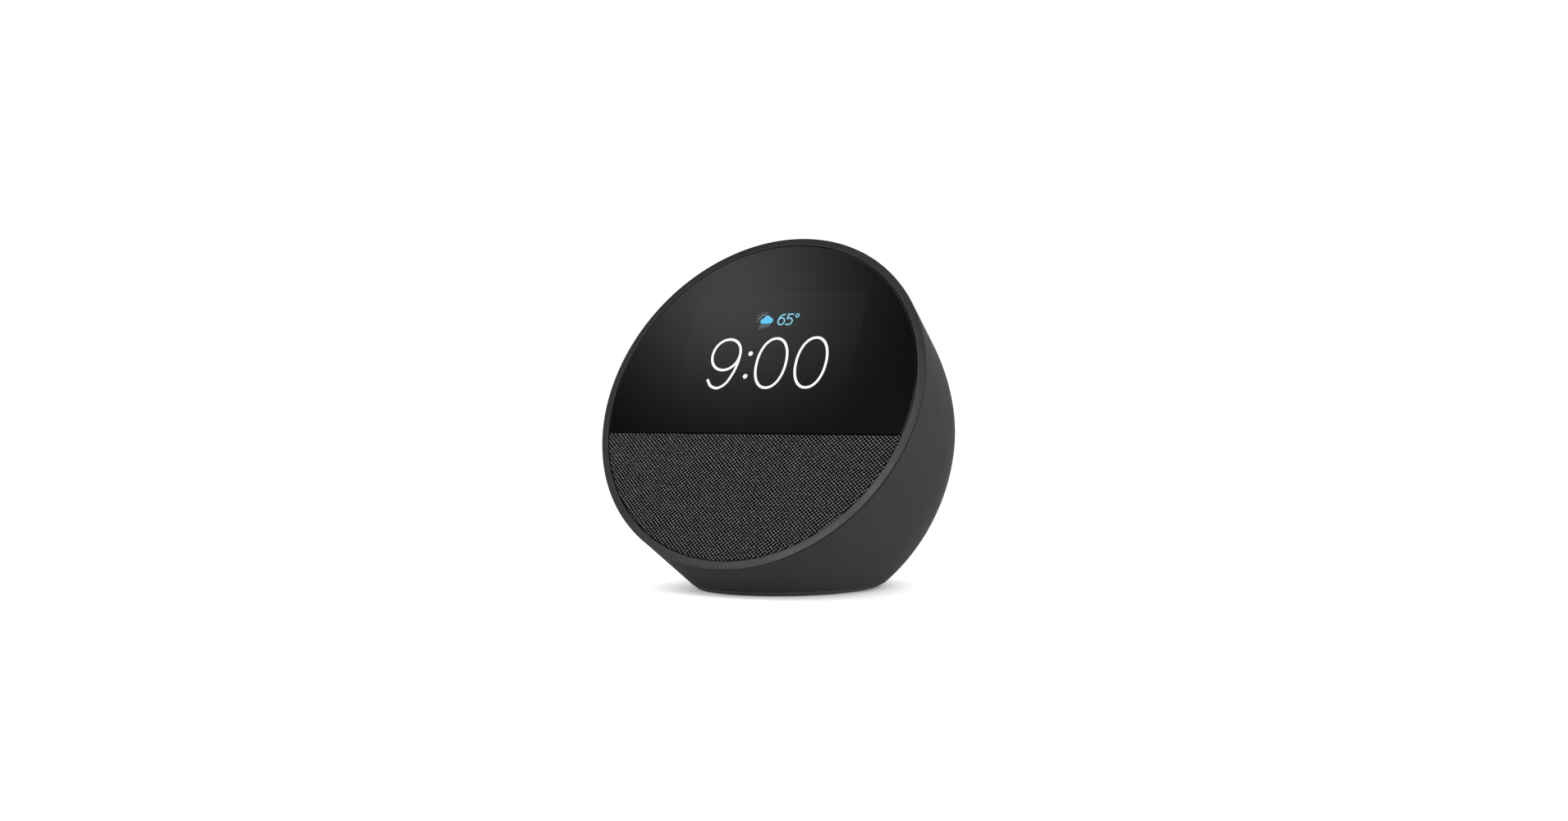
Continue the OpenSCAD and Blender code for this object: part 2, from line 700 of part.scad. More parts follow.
module board_connectors() color(CREAM) on_face() {
    depth_block([0, display_bottom + FLEX_RISE], FLEX_PLUG_SIZE, BOARD_FRONT - FLEX_PLUG_H,
        BOARD_FRONT);
    on_board(SPEAKER_PLUG_AT, SPEAKER_PLUG_FACE, SPEAKER_PLUG_H);
    on_board(POWER_PLUG_AT, POWER_PLUG_FACE, POWER_PLUG_H);
    on_board(BUTTON_PLUG_AT, BUTTON_PLUG_FACE, BUTTON_PLUG_H);
}

// Inductors and capacitors on the back of the board
function row_place(row, i) = row[0] + [row[1] * i, 0];
module board_parts() color(COPPER) on_face() {
    for (row = [INDUCTORS, SMALL_PARTS]) for (i = [0 : row[2] - 1])
        on_board(row_place(row, i), row[3], row[4]);
    for (i = [0 : CANS[2] - 1]) can_on_board(row_place(CANS, i), CANS[3], CANS[4]);
}

module board_screws() color(STEEL) on_face() translate([0, 0, -BOARD_BACK])
    at_each(BOARD_HOLES) mirror([0, 0, 1]) screw(SMALL_SCREW, BOARD_SHANK);

// ---- Speaker ----

module speaker_ring(inner, outer, front, back) at_speaker() difference() {
    depth_disc(outer, front, back, FINE);
    depth_disc(inner, front - OVER, back + OVER, FINE);
}

module speaker_gasket() color(RUBBER)
    speaker_ring(basket_r - GASKET_W, basket_r, CHASSIS_BACK, FLANGE_FRONT);

module speaker_basket() color(PLASTIC_BLACK) at_speaker() difference() {
    union() {
        rotate_extrude($fn = FINE) polygon([
            [basket_r - BASKET_RIM_W, -FLANGE_FRONT],
            [basket_r, -FLANGE_FRONT],
            [basket_r, -FLANGE_BACK],
            [basket_r - BASKET_NECK_W, -FLANGE_BACK],
            [BASKET_FLOOR_R[1], BASKET_FLOOR_T[1] - BASKET_BACK],
            [BASKET_FLOOR_R[1], -BASKET_BACK],
            [GAP_R + GAP, -BASKET_BACK],
            [GAP_R + GAP, BASKET_FLOOR_T[0] - BASKET_BACK],
            [BASKET_FLOOR_R[0], BASKET_FLOOR_T[0] - BASKET_BACK],
            [basket_r - BASKET_RIM_W, -FLANGE_BACK - BASKET_LIP]
        ]);
        rotate([0, 0, TAB_ANGLE]) translate([basket_r - GASKET_W, -TAB_W / 2, -FLANGE_BACK])
            cube([TAB_R - basket_r + GASKET_W, TAB_W, FLANGE_BACK - FLANGE_FRONT]);
    }
    for (angle = [WINDOW_STEP / 2 : WINDOW_STEP : 360]) rotate([0, 0, angle])
        translate(WINDOW_AT) cube(WINDOW_SIZE);
}

module speaker_top_plate() color(STEEL)
    speaker_ring(GAP_R, STEEL_R, BASKET_BACK, TOP_PLATE_BACK);

module speaker_magnet() color(FERRITE)
    speaker_ring(MAGNET_HOLE_R, magnet_r, TOP_PLATE_BACK, MAGNET_BACK);

module speaker_yoke() color(STEEL) at_speaker() {
    depth_disc(STEEL_R, MAGNET_BACK, YOKE_BACK, FINE);
    depth_disc(POLE_R, BASKET_BACK, YOKE_BACK, MEDIUM);
}

// The spider is a corrugated ring that centres the coil
function spider_point(i, lift) =
    [SPIDER_R + i * SPIDER_FOLD, lift - BASKET_BACK + (i % 2) * SPIDER_RISE];
module speaker_spider() {
    top = [for (i = [0 : SPIDER_FOLDS]) spider_point(i, SPIDER_LIFT[1])];
    under = [for (i = [SPIDER_FOLDS : -1 : 0]) spider_point(i, SPIDER_LIFT[0])];
    color(AMBER) at_speaker() rotate_extrude($fn = MEDIUM) polygon(concat(top, under));
}

// The surround is a half roll that stands on the basket's rim, with a foot on the cone's side
function roll_point(r, a) = [ROLL_R + r * cos(a), r * sin(a) - FLANGE_FRONT + ROLL_LIFT];
module speaker_surround() {
    outer_arc = [for (a = [180 : -15 : 0]) roll_point(ROLL_OUTER, a)];
    inner_arc = [for (a = [0 : 15 : 180]) roll_point(ROLL_INNER, a)];
    foot = [
        [ROLL_FOOT[2], ROLL_LIFT - FLANGE_FRONT],
        [ROLL_FOOT[2], -FLANGE_FRONT],
        [ROLL_FOOT[1], -FLANGE_FRONT],
        [ROLL_FOOT[0], ROLL_LIFT - FLANGE_FRONT]
    ];
    lap = [
        [CONE_R + LAP_W, -CONE_FRONT - LAP_H],
        [ROLL_R - ROLL_OUTER, -CONE_FRONT - LAP_H]
    ];
    color(RUBBER) at_speaker() rotate_extrude($fn = FINE)
        polygon(concat(outer_arc, foot, inner_arc, lap));
}

function terminal_place(side) = [
    TERMINAL_R * cos(TAB_ANGLE) - side * TERMINAL_OFF * sin(TAB_ANGLE),
    TERMINAL_R * sin(TAB_ANGLE) + side * TERMINAL_OFF * cos(TAB_ANGLE),
    0
];
module speaker_terminals() color(BRASS) at_speaker() for (side = [-1, 1])
    translate(terminal_place(side)) rotate([0, 0, TAB_ANGLE])
        depth_block([0, 0], TERMINAL_SIZE, FLANGE_BACK, FLANGE_BACK + TERMINAL_H);

// Each lead runs from a terminal to the speaker connector, in the face's frame
module speaker_leads() {
    plug = [SPEAKER_PLUG_AT.x, SPEAKER_PLUG_AT.y, -BOARD_BACK - SPEAKER_PLUG_H];
    color(LEAD_RED) on_face() for (side = [-1, 1]) {
        start = terminal_place(side) + [0, speaker_v, -FLANGE_BACK - TERMINAL_H];
        end = plug - [side * LEAD_OFF, 0, 0];
        route = [
            start,
            start + [0, 0, -2],
            start + [0, 2, -6],
            end + [0, -3, -5],
            end + [0, 0, -3],
            end
        ];
        wire(route, LEAD_R, 8);
    }
}

module speaker_cone() color(PAPER) at_speaker() rotate_extrude($fn = FINE) polygon([
    [COIL_R[0], -CONE_BACK],
    [COIL_R[1] + CONE_FOOT, -CONE_BACK],
    [CONE_R, -CONE_FRONT - CONE_RIM_H],
    [CONE_R, -CONE_FRONT],
    [CONE_R - CONE_LIP, -CONE_FRONT],
    [COIL_R[0], CONE_T - CONE_BACK]
]);

// The dust cap is a shallow dome on the cone
function dome_point(inset, a) = [
    (DOME_R - inset) * cos(a),
    DOME_LIFT - CONE_BACK + (DOME_H - inset) * sin(a)
];
module dust_cap() {
    outside = [for (a = [0 : 10 : 90]) dome_point(0, a)];
    inside = [for (a = [90 : -10 : 0]) dome_point(DOME_T, a)];
    color(PAPER) at_speaker() rotate_extrude($fn = MEDIUM) polygon(concat(outside, inside));
}

module voice_coil() color(COPPER)
    speaker_ring(COIL_R[0], COIL_R[1], CONE_BACK, TOP_PLATE_BACK + cone_travel);

// ---- Controls ----

// An arc of strip round the face's axis, between two radii, two depths and two angles from the top
module top_arc(radii, front, back, from_angle, to_angle) on_face() rotate([0, 0, 90 - to_angle])
    translate([0, 0, -back]) rotate_extrude(angle = to_angle - from_angle, $fn = FINE)
        translate([radii[0], 0]) square([radii[1] - radii[0], back - front]);

// The bracket is an arc with an arm at each end that reaches forward to the chassis
module button_bracket() color(PLASTIC_BLACK) {
    arm = [BRACKET_R[0] + ARM_INSET, BRACKET_R[1] - ARM_INSET];
    top_arc(BRACKET_R, ARC_FRONT, ARC_BACK, -ARC_HALF, ARC_HALF);
    for (side = [0, 1]) mirror([side, 0, 0])
        top_arc(arm, CHASSIS_BACK, ARC_FRONT + OVER, ARM_FROM, ARC_HALF - OVER);
}

// The flexible circuit lies on the bracket, and its tail folds down to the board's connector
module button_flex() color(AMBER) {
    length = FLEX_TAIL_R - BUTTON_PLUG_AT.y;
    tail = BUTTON_PLUG_AT + [0, length / 2];
    end_front = BOARD_BACK + BUTTON_PLUG_H;
    flex_back = FLEX_TAIL_BACK + CIRCUIT_T - GAP;
    top_arc([BRACKET_R[1], CIRCUIT_R], ARC_FRONT, ARC_BACK + OVER, -ARC_HALF, ARC_HALF);
    on_face() {
        depth_block(tail, [FLEX_TAIL_W, length], FLEX_TAIL_BACK, FLEX_TAIL_BACK + CIRCUIT_T);
        depth_block(BUTTON_PLUG_AT, [FLEX_END_W, CIRCUIT_T], end_front, flex_back);
    }
}

module tact_switches() color(STEEL) for (angle = BUTTON_ANGLES) at_button(angle) difference() {
    translate([-SWITCH_SIZE / 2, -SWITCH_SIZE / 2, CIRCUIT_R])
        cube([SWITCH_SIZE, SWITCH_SIZE, SWITCH_TOP_R - CIRCUIT_R]);
    translate([0, 0, PLUNGER_FOOT_R - button_travel - PLUNGER_ROOM])
        cylinder(r = PLUNGER_R + PLUNGER_CLEARANCE, h = BIG / 4, $fn = SMALL);
}

module button_plunger(angle) color(CREAM) at_button(angle) translate([0, 0, PLUNGER_FOOT_R])
    cylinder(r = PLUNGER_R, h = CAP_FOOT_R - PLUNGER_FOOT_R, $fn = SMALL);

// A cap follows the shell's surface, a little proud of it, and a flange inside the shell keeps it in
module button_cap(angle) color(RIM_GREY) {
    intersection() {
        body_form(-cap_rise, SHELL_FRONT, face_r + cap_rise, 0, STEP_OUTSIDE);
        at_button(angle) translate([0, 0, CAP_FOOT_R])
            cylinder(r = cap_r, h = BIG / 2, $fn = MEDIUM);
    }
    at_button(angle) translate([0, 0, CAP_FOOT_R])
        cylinder(r = cap_r + CAP_FLANGE_W, h = CAP_FLANGE_T, $fn = MEDIUM);
}

module volume_down_cap() button_cap(BUTTON_ANGLES[0]);
module volume_up_cap() button_cap(BUTTON_ANGLES[1]);
module mute_cap() button_cap(BUTTON_ANGLES[2]);
module volume_down_plunger() button_plunger(BUTTON_ANGLES[0]);
module volume_up_plunger() button_plunger(BUTTON_ANGLES[1]);
module mute_plunger() button_plunger(BUTTON_ANGLES[2]);

module microphones() color(STEEL) for (angle = MICROPHONE_ANGLES) at_button(angle)
    translate([-MICROPHONE.x / 2, -MICROPHONE.y / 2, CIRCUIT_R]) cube(MICROPHONE);

module microphone_seals() color(RUBBER) for (angle = MICROPHONE_ANGLES) at_button(angle)
    translate([0, 0, CIRCUIT_R + MICROPHONE.z]) difference() {
        cylinder(r = SEAL_R, h = SEAL_TOP_R - CIRCUIT_R - MICROPHONE.z, $fn = SMALL);
        translate([0, 0, -OVER]) cylinder(r = SOUND_HOLE_R + GAP, h = BIG / 4, $fn = SMALL);
    }

// ---- Power ----

module power_board() color(BOARD_GREEN) difference() {
    translate([-POWER_HALF_W, POWER_Y[0], POWER_Z])
        cube([2 * POWER_HALF_W, POWER_Y[1] - POWER_Y[0], POWER_T]);
    at_each(POWER_HOLES) cylinder(r = SMALL_SCREW[2] + GAP, h = BIG / 4, $fn = SMALL);
}

module power_board_screws() color(STEEL) translate([0, 0, POWER_TOP])
    at_each(POWER_HOLES) screw(SMALL_SCREW, POWER_SHANK);

// Capacitor, inductor and the cable's connector on the power board
module power_parts() color(PARTS_BLUE) {
    translate(CAN_AT) cylinder(r = CAN_R, h = CAN_H, $fn = MEDIUM);
    translate(COIL_AT) cube(COIL_SIZE);
    translate(POWER_PLUG - [POWER_PLUG_SIZE.x, POWER_PLUG_SIZE.y, 0] / 2) cube(POWER_PLUG_SIZE);
}

module dc_jack() color(PLASTIC_BLACK) difference() {
    translate([-JACK_HALF_W, JACK_FRONT_Y - JACK_LENGTH, POWER_TOP])
        cube([2 * JACK_HALF_W, JACK_LENGTH, JACK_TOP - POWER_TOP]);
    translate([0, JACK_FRONT_Y - JACK_BORE_LENGTH, inlet_z]) rotate([-90, 0, 0])
        cylinder(r = JACK_BORE_R, h = BIG / 4, $fn = MEDIUM);
}

module jack_contact() color(BRASS) translate([0, JACK_FRONT_Y - JACK_BORE_LENGTH, inlet_z])
    rotate([-90, 0, 0]) cylinder(r = CONTACT_R, h = JACK_BORE_LENGTH - CONTACT_INSET, $fn = SMALL);

module power_cable() color(PLASTIC_BLACK) wire(CABLE_ROUTE, CABLE_R, 8);

rear_shell();
rim_ring();
cover_glass();
glass_adhesive();
grille_fabric();
grille_frame();
front_chassis();
chassis_screws();
display_panel();
backlight_unit();
display_bracket();
display_flex();
heat_spreader();
thermal_pad();
main_board();
processor();
memory_chips();
wireless_shield();
board_connectors();
board_parts();
board_screws();
speaker_gasket();
speaker_basket();
speaker_top_plate();
speaker_magnet();
speaker_yoke();
speaker_spider();
speaker_surround();
speaker_terminals();
speaker_leads();
speaker_cone();
dust_cap();
voice_coil();
button_bracket();
button_flex();
tact_switches();
volume_down_cap();
volume_up_cap();
mute_cap();
volume_down_plunger();
volume_up_plunger();
mute_plunger();
microphones();
microphone_seals();
power_board();
power_board_screws();
power_parts();
dc_jack();
jack_contact();
power_cable();
base_plate();
base_screws();
base_foot();
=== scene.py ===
import math

import bmesh
import bpy
import numpy as np
from mathutils import Matrix, Vector
from mathutils.bvhtree import BVHTree
from mathutils.interpolate import poly_3d_calc


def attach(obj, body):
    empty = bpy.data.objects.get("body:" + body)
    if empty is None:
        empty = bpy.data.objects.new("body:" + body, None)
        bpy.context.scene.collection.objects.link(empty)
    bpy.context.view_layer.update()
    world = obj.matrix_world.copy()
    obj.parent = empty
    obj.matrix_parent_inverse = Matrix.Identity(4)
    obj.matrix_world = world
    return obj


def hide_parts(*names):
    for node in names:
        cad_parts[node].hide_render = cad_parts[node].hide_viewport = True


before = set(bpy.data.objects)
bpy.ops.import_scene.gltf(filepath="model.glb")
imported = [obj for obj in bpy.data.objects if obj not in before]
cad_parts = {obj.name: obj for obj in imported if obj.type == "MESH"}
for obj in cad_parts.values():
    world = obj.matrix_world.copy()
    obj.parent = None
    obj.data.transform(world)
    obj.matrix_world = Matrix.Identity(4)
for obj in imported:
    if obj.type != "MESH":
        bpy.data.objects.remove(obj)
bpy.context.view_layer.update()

MM = 0.001

# ---- Sizes shared with the CAD part ----

FACE_R = 56.5
OPENING_R = 54.04
FACE_TILT = 25
FACE_AT = (0, -20.2, 60.2)
RIM_PLATE = 0.7
RIM_FLANGE_R = 55
LEDGE_DEPTH = 4.6
LEDGE_BACK = 6.6
LEDGE_R = 51
THROAT_R = 50.82
INSERT_R = 53.8
GLASS_T = 1.8
SPLIT_V = -12.25
SPLIT_GAP = 0.1

BODY_HALF = (52.5, 58.9, 60.07)
BODY_MID_Z = 49.03
BODY_POWER = 1.9
BASE_R = 25.6
BASE_Y = -6.83
WALL = 2.4
FOOT_H = 1.4
FOOT_INSET = 0.25
SHELL_BOTTOM = 1.55
FLOOR_Z = 4.6
PLATE_FLANGE = (25.6, 29.1)
PLATE_FLANGE_TOP = 3
PLATE_PLUG = (19.8, 23.3)

BUTTON_BACK = 13.25
BUTTON_PITCH = 15.3
MICROPHONE_ANGLE = 28
CAP_R = 4.5
CAP_HOLE_R = 4.7
CAP_POCKET_R = 6
CAP_FLANGE_R = 5.6
CAP_FOOT = 52.2
CAP_FLANGE_TOP = 53.2
CAP_POCKET_TOP = 53.6
CAP_RISE = 0.35
CONTROLS_FROM = 45
SOUND_HOLE_R = 0.6
SEAL_POCKET_R = 2.4
SEAL_POCKET_TOP = 53.1

INLET_Z = 16
INLET_R = 5.2
INLET_FROM_Y = 38
MOUTH_FROM_Y = 44
MOUTH_R = 6.4
COLLAR_R = 7.2

BOSS_R = 3.2
BOSS_AT_R = 48.5
BOSS_DEPTH = 10.2
BOSS_ANGLES = (20, 160, 215, 325)
BASE_BOSSES = ((15.7, 18.2), (-15.7, 18.2), (15.7, -18.2), (-15.7, -18.2))
BASE_BOSS_R = 2.3
BASE_BOSS_TOP = 10.6

# ---- Sizes of this script's own ----

# The shell starts a little deeper behind the face than the CAD's, and the rim's face slopes back.
# The rim's underside is cut away inwards from its edge, so that the seam between the two shows dark.
SHELL_FRONT = 1.0
RIM_SLOPE = 0.34
GROOVE_TOP = 0.5
GROOVE_DEPTH = 0.7
# Everything is inside this distance
FAR = 90
# A cut goes this far past the surface that it opens, and the throat's cut this far past the ledge
CUT_OVER = 1
THROAT_OVER = 0.5
# The shell's seat is this much wider than the rim's flange
SEAT_GAP = 0.1
# A point nearer to a surface than this is on it
TOUCH = 0.02

# ---- Frames ----

SIN_TILT = math.sin(math.radians(FACE_TILT))
COS_TILT = math.cos(math.radians(FACE_TILT))
FACE = Matrix(
    (
        (1, 0, 0, FACE_AT[0]),
        (0, SIN_TILT, -COS_TILT, FACE_AT[1]),
        (0, COS_TILT, SIN_TILT, FACE_AT[2]),
        (0, 0, 0, 1),
    )
)
TO_METRES = Matrix.Scale(MM, 4)


# The frame of a control in the top row, whose z points straight away from the face's axis
def control_frame(angle):
    turn = Matrix.Rotation(math.radians(-angle), 4, "Z")
    back = Matrix.Translation((0, 0, -BUTTON_BACK))
    return FACE @ turn @ back @ Matrix.Rotation(math.radians(-90), 4, "X")


# The same frame for an object whose mesh is in metres
def in_metres(place):
    moved = place.copy()
    moved.translation = place.translation * MM
    return moved


# ---- Meshes ----


# Faces that meet at more than this many degrees meet in a sharp edge
SHARP_FROM = 32


def smooth_shade(mesh):
    mesh.shade_smooth()
    mesh.set_sharp_from_angle(angle=math.radians(SHARP_FROM))


# A mesh in metres from points in millimetres
def make_mesh(name, points, faces):
    mesh = bpy.data.meshes.new(name)
    mesh.from_pydata([tuple(c * MM for c in p) for p in points], [], faces)
    mesh.validate()
    smooth_shade(mesh)
    return mesh


# The points and faces of a skin over rings of equally many points.
# An end is "open", "flat", or a point that its ring runs to.
def loft(rings, first="open", last="open", round_again=False):
    count = len(rings[0])
    points = [p for ring in rings for p in ring]
    faces = []
    steps = len(rings) if round_again else len(rings) - 1
    for i in range(steps):
        a, b = i * count, (i + 1) % len(rings) * count
        for j in range(count):
            k = (j + 1) % count
            faces.append((a + j, a + k, b + k, b + j))
    for end, start, order in ((first, 0, -1), (last, (len(rings) - 1) * count, 1)):
        ring = list(range(start, start + count))[::order]
        if end == "flat":
            faces.append(tuple(ring))
        elif end != "open":
            points.append(end)
            faces += [(ring[j], ring[(j + 1) % count], len(points) - 1) for j in range(count)]
    return points, faces


def circle(r, z, count, centre=(0, 0)):
    return [
        (
            centre[0] + r * math.cos(math.tau * i / count),
            centre[1] + r * math.sin(math.tau * i / count),
            z,
        )
        for i in range(count)
    ]


# A flat oval: an ellipse at power 2, squarer above it and more pointed below it
def oval_line(centre, half, power=2.0, count=96):
    line = []
    for i in range(count):
        c, s = math.cos(math.tau * i / count), math.sin(math.tau * i / count)
        size = (abs(c) ** power + abs(s) ** power) ** (-1 / power)
        line.append(Vector((centre[0] + half[0] * size * c, centre[1] + half[1] * size * s)))
    return line


# A turned solid from a profile of (radius, height) points that closes on itself
def turned(profile, count):
    return loft([circle(r, z, count) for r, z in profile], round_again=True)


# Points of a rounded corner that turns from one angle to another
def corner(centre, r, from_angle, to_angle, steps=5):
    return [
        (centre[0] + r * math.cos(math.radians(a)), centre[1] + r * math.sin(math.radians(a)))
        for a in np.linspace(from_angle, to_angle, steps)
    ]


# A piece of the object, in place, riding on its body
def add_piece(name, mesh, body, finish, place=None):
    piece = bpy.data.objects.new(name, mesh)
    bpy.context.scene.collection.objects.link(piece)
    if place is not None:
        piece.matrix_world = in_metres(place)
    mesh.materials.clear()
    mesh.materials.append(finish)
    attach(piece, body)
    return piece


# Gives a second finish to the faces whose middles pass a test, with the middles in millimetres
def coat(mesh, finish, chosen):
    mesh.materials.append(finish)
    for polygon in mesh.polygons:
        if chosen(polygon.center / MM):
            polygon.material_index = 1


# A closed solid in millimetres, which is carved or carves another
def tool_solid(points, faces, place=None):
    mesh = bpy.data.meshes.new("tool")
    mesh.from_pydata([tuple(p) for p in points], [], faces)
    if place is not None:
        mesh.transform(place)
    work = bmesh.new()
    work.from_mesh(mesh)
    bmesh.ops.recalc_face_normals(work, faces=work.faces)
    work.to_mesh(mesh)
    work.free()
    tool = bpy.data.objects.new("tool", mesh)
    bpy.context.scene.collection.objects.link(tool)
    return tool


def rod(r, start, end, place=None, count=64):
    return tool_solid(*loft([circle(r, start, count), circle(r, end, count)], "flat", "flat"), place)


# Takes tools away from a solid, one after another, and removes them
def carve(solid, tools):
    for tool in tools:
        step = solid.modifiers.new("carve", "BOOLEAN")
        step.operation = "DIFFERENCE"
        step.solver = "MANIFOLD"
        step.object = tool
        ready = solid.evaluated_get(bpy.context.evaluated_depsgraph_get())
        made = bpy.data.meshes.new_from_object(ready)
        solid.modifiers.clear()
        solid.data = made
        bpy.data.objects.remove(tool)
    return solid


# ---- The body's outer form: the hull of an egg behind the face, the rim's circle and a base patch ----

# The egg's points are this many degrees apart, from just over its lowest point to just under its top
EGG_STEP = 1.0
EGG_LOWEST = -89.5
# Rays to the form start this deep behind the face
EYE_DEPTH = 45
# Points round the form, round a hole that shows and round a small hole
AROUND = 288
FINE = 96
FEW = 32


def egg_points(inset, depth, floor_z):
    lift = np.radians(np.arange(EGG_LOWEST, 90, EGG_STEP))[:, None]
    turn = np.radians(np.arange(0, 360, EGG_STEP))[None, :]
    way = np.stack(
        [
            np.cos(lift) * np.cos(turn),
            np.cos(lift) * np.sin(turn),
            np.sin(lift) + 0 * turn,
        ],
        -1,
    ).reshape(-1, 3)
    size = (np.abs(way) ** BODY_POWER).sum(1) ** (-1 / BODY_POWER)
    points = way * size[:, None] * (np.array(BODY_HALF) - inset) + (0, 0, BODY_MID_Z)
    out = (FACE_AT[1] - points[:, 1]) * COS_TILT + (points[:, 2] - FACE_AT[2]) * SIN_TILT
    return points[(points[:, 2] >= floor_z) & (out <= -depth)]


# A search tree of the form's surface, in millimetres
def form_tree(inset, depth, rim_r, floor_z):
    work = bmesh.new()
    for p in egg_points(inset, depth, floor_z):
        work.verts.new(p)
    for p in circle(rim_r, -depth, 4 * AROUND):
        work.verts.new(FACE @ Vector(p))
    for p in circle(BASE_R - inset, floor_z, AROUND, (0, BASE_Y)):
        work.verts.new(p)
    bmesh.ops.convex_hull(work, input=work.verts)
    loose = [v for v in work.verts if not v.link_faces]
    bmesh.ops.delete(work, geom=loose, context="VERTS")
    tree = BVHTree.FromBMesh(work)
    work.free()
    return tree


# Rings over the form from the rim to the pole opposite the face, and that pole
def form_rings(tree, depth, rim_r, rows):
    eye = FACE @ Vector((0, 0, -EYE_DEPTH))
    turn = FACE.to_3x3()
    rim_angle = math.atan2(rim_r, EYE_DEPTH - depth)
    rings = [[FACE @ Vector(p) for p in circle(rim_r, -depth, AROUND)]]
    for fall in np.linspace(rim_angle, math.pi, rows + 1)[1:-1]:
        flat, up = math.sin(fall), math.cos(fall)
        ways = [turn @ Vector(p) for p in circle(flat, up, AROUND)]
        rings.append([tree.ray_cast(eye, way)[0] for way in ways])
    pole = tree.ray_cast(eye, turn @ Vector((0, 0, -1)))[0]
    return rings, pole


OUTSIDE = form_tree(0, SHELL_FRONT, FACE_R, 0)
OUTSIDE_ROWS = 140
INSIDE_ROWS = 48


# A prism between two heights, with the oval outline of the base
def base_oval(half, from_z, to_z):
    outline = oval_line((0, 0), half, BODY_POWER, AROUND // 2)
    rings = [[(x, y, z) for x, y in outline] for z in (from_z, to_z)]
    return tool_solid(*loft(rings, "flat", "flat"))


def along_y(x, z):
    return Matrix.Translation((x, 0, z)) @ Matrix.Rotation(math.radians(-90), 4, "X")


# Bosses and the inlet's collar stand in the shell's cavity
def boss_tools():
    tools = []
    for angle in BOSS_ANGLES:
        place = FACE @ Matrix.Rotation(math.radians(angle), 4, "Z")
        place = place @ Matrix.Translation((BOSS_AT_R, 0, 0))
        tools.append(rod(BOSS_R, -BOSS_DEPTH, -LEDGE_DEPTH, place, FEW))
    return tools


def base_boss_tools():
    return [
        rod(BASE_BOSS_R, 0, BASE_BOSS_TOP, Matrix.Translation((x, y, 0)), FEW) for x, y in BASE_BOSSES
    ]


def control_tools():
    tools = []
    for angle in (-BUTTON_PITCH, 0, BUTTON_PITCH):
        place = control_frame(angle)
        tools.append(rod(CAP_HOLE_R, CONTROLS_FROM, FAR, place, FINE))
        tools.append(rod(CAP_POCKET_R, CONTROLS_FROM, CAP_POCKET_TOP, place))
    for angle in (-MICROPHONE_ANGLE, MICROPHONE_ANGLE):
        place = control_frame(angle)
        tools.append(rod(SOUND_HOLE_R, CONTROLS_FROM, FAR, place, FEW))
        tools.append(rod(SEAL_POCKET_R, CONTROLS_FROM, SEAL_POCKET_TOP, place, FEW))
    return tools


# The normal of a mesh's smooth surface at a point near it, and how far away it is
def smooth_normal(tree, mesh, point):
    spot, _, index, away = tree.find_nearest(point)
    corners = [mesh.vertices[i] for i in mesh.polygons[index].vertices]
    shares = poly_3d_calc([c.co for c in corners], spot)
    normal = Vector()
    for share, c in zip(shares, corners):
        normal += share * c.normal
    return normal.normalized(), away


# A face takes the old surface's normals where they turn less than this from its own, as a cosine
SAME_WAY = 0.8


# Gives a carved mesh the smooth normals of the surface that it was carved from
def keep_normals(carved, source):
    work = bmesh.new()
    work.from_mesh(source)
    tree = BVHTree.FromBMesh(work)
    work.free()
    known = [smooth_normal(tree, source, v.co) for v in carved.vertices]
    normals = [Vector((0, 0, 0))] * len(carved.loops)
    for face in carved.polygons:
        near = [known[i] for i in face.vertices]
        if all(away < TOUCH and normal.dot(face.normal) > SAME_WAY for normal, away in near):
            for loop, (normal, _) in zip(face.loop_indices, near):
                normals[loop] = normal
    carved.normals_split_custom_set(normals)


def make_shell(finish, inner_finish):
    rings, pole = form_rings(OUTSIDE, SHELL_FRONT, FACE_R, OUTSIDE_ROWS)
    front = FACE @ Vector((0, 0, -SHELL_FRONT))
    outer = tool_solid(*loft(rings, front, pole))
    inside = form_tree(WALL, LEDGE_BACK, LEDGE_R, FLOOR_Z)
    rings, pole = form_rings(inside, LEDGE_BACK, LEDGE_R, INSIDE_ROWS)
    front = FACE @ Vector((0, 0, -LEDGE_BACK))
    cavity = tool_solid(*loft(rings, front, pole))
    collar = rod(COLLAR_R, INLET_FROM_Y, FAR, along_y(0, INLET_Z))
    carve(cavity, boss_tools() + base_boss_tools() + [collar])
    throat = carve(rod(THROAT_R, -LEDGE_BACK - THROAT_OVER, 0, FACE, AROUND), boss_tools())
    below = rod(FAR, -FAR, SHELL_BOTTOM)
    # The surface before anything is cut from it gives the finished shell its normals
    source = outer.data.copy()
    source.shade_smooth()
    tools = [cavity, throat, rod(RIM_FLANGE_R + SEAT_GAP, -LEDGE_DEPTH, CUT_OVER, FACE, AROUND)]
    tools += control_tools()
    tools.append(rod(INLET_R, 0, FAR, along_y(0, INLET_Z), FINE))
    tools.append(rod(MOUTH_R, MOUTH_FROM_Y, FAR, along_y(0, INLET_Z), FINE))
    tools.append(base_oval(PLATE_FLANGE, -CUT_OVER, PLATE_FLANGE_TOP))
    tools.append(base_oval(PLATE_PLUG, 0, FLOOR_Z + CUT_OVER))
    tools.append(below)
    carve(outer, tools)
    mesh = outer.data
    smooth_shade(mesh)
    keep_normals(mesh, source)
    mesh.transform(TO_METRES)
    mesh.name = "shell_form"
    bpy.data.objects.remove(outer)
    shell = add_piece("shell", mesh, "housing", finish)
    to_face = FACE.inverted()
    coat(mesh, inner_finish, lambda p: abs((to_face @ p).z + SHELL_FRONT) < TOUCH)
    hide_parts("rear_shell")


# ---- Rim ring, foot and cover glass ----


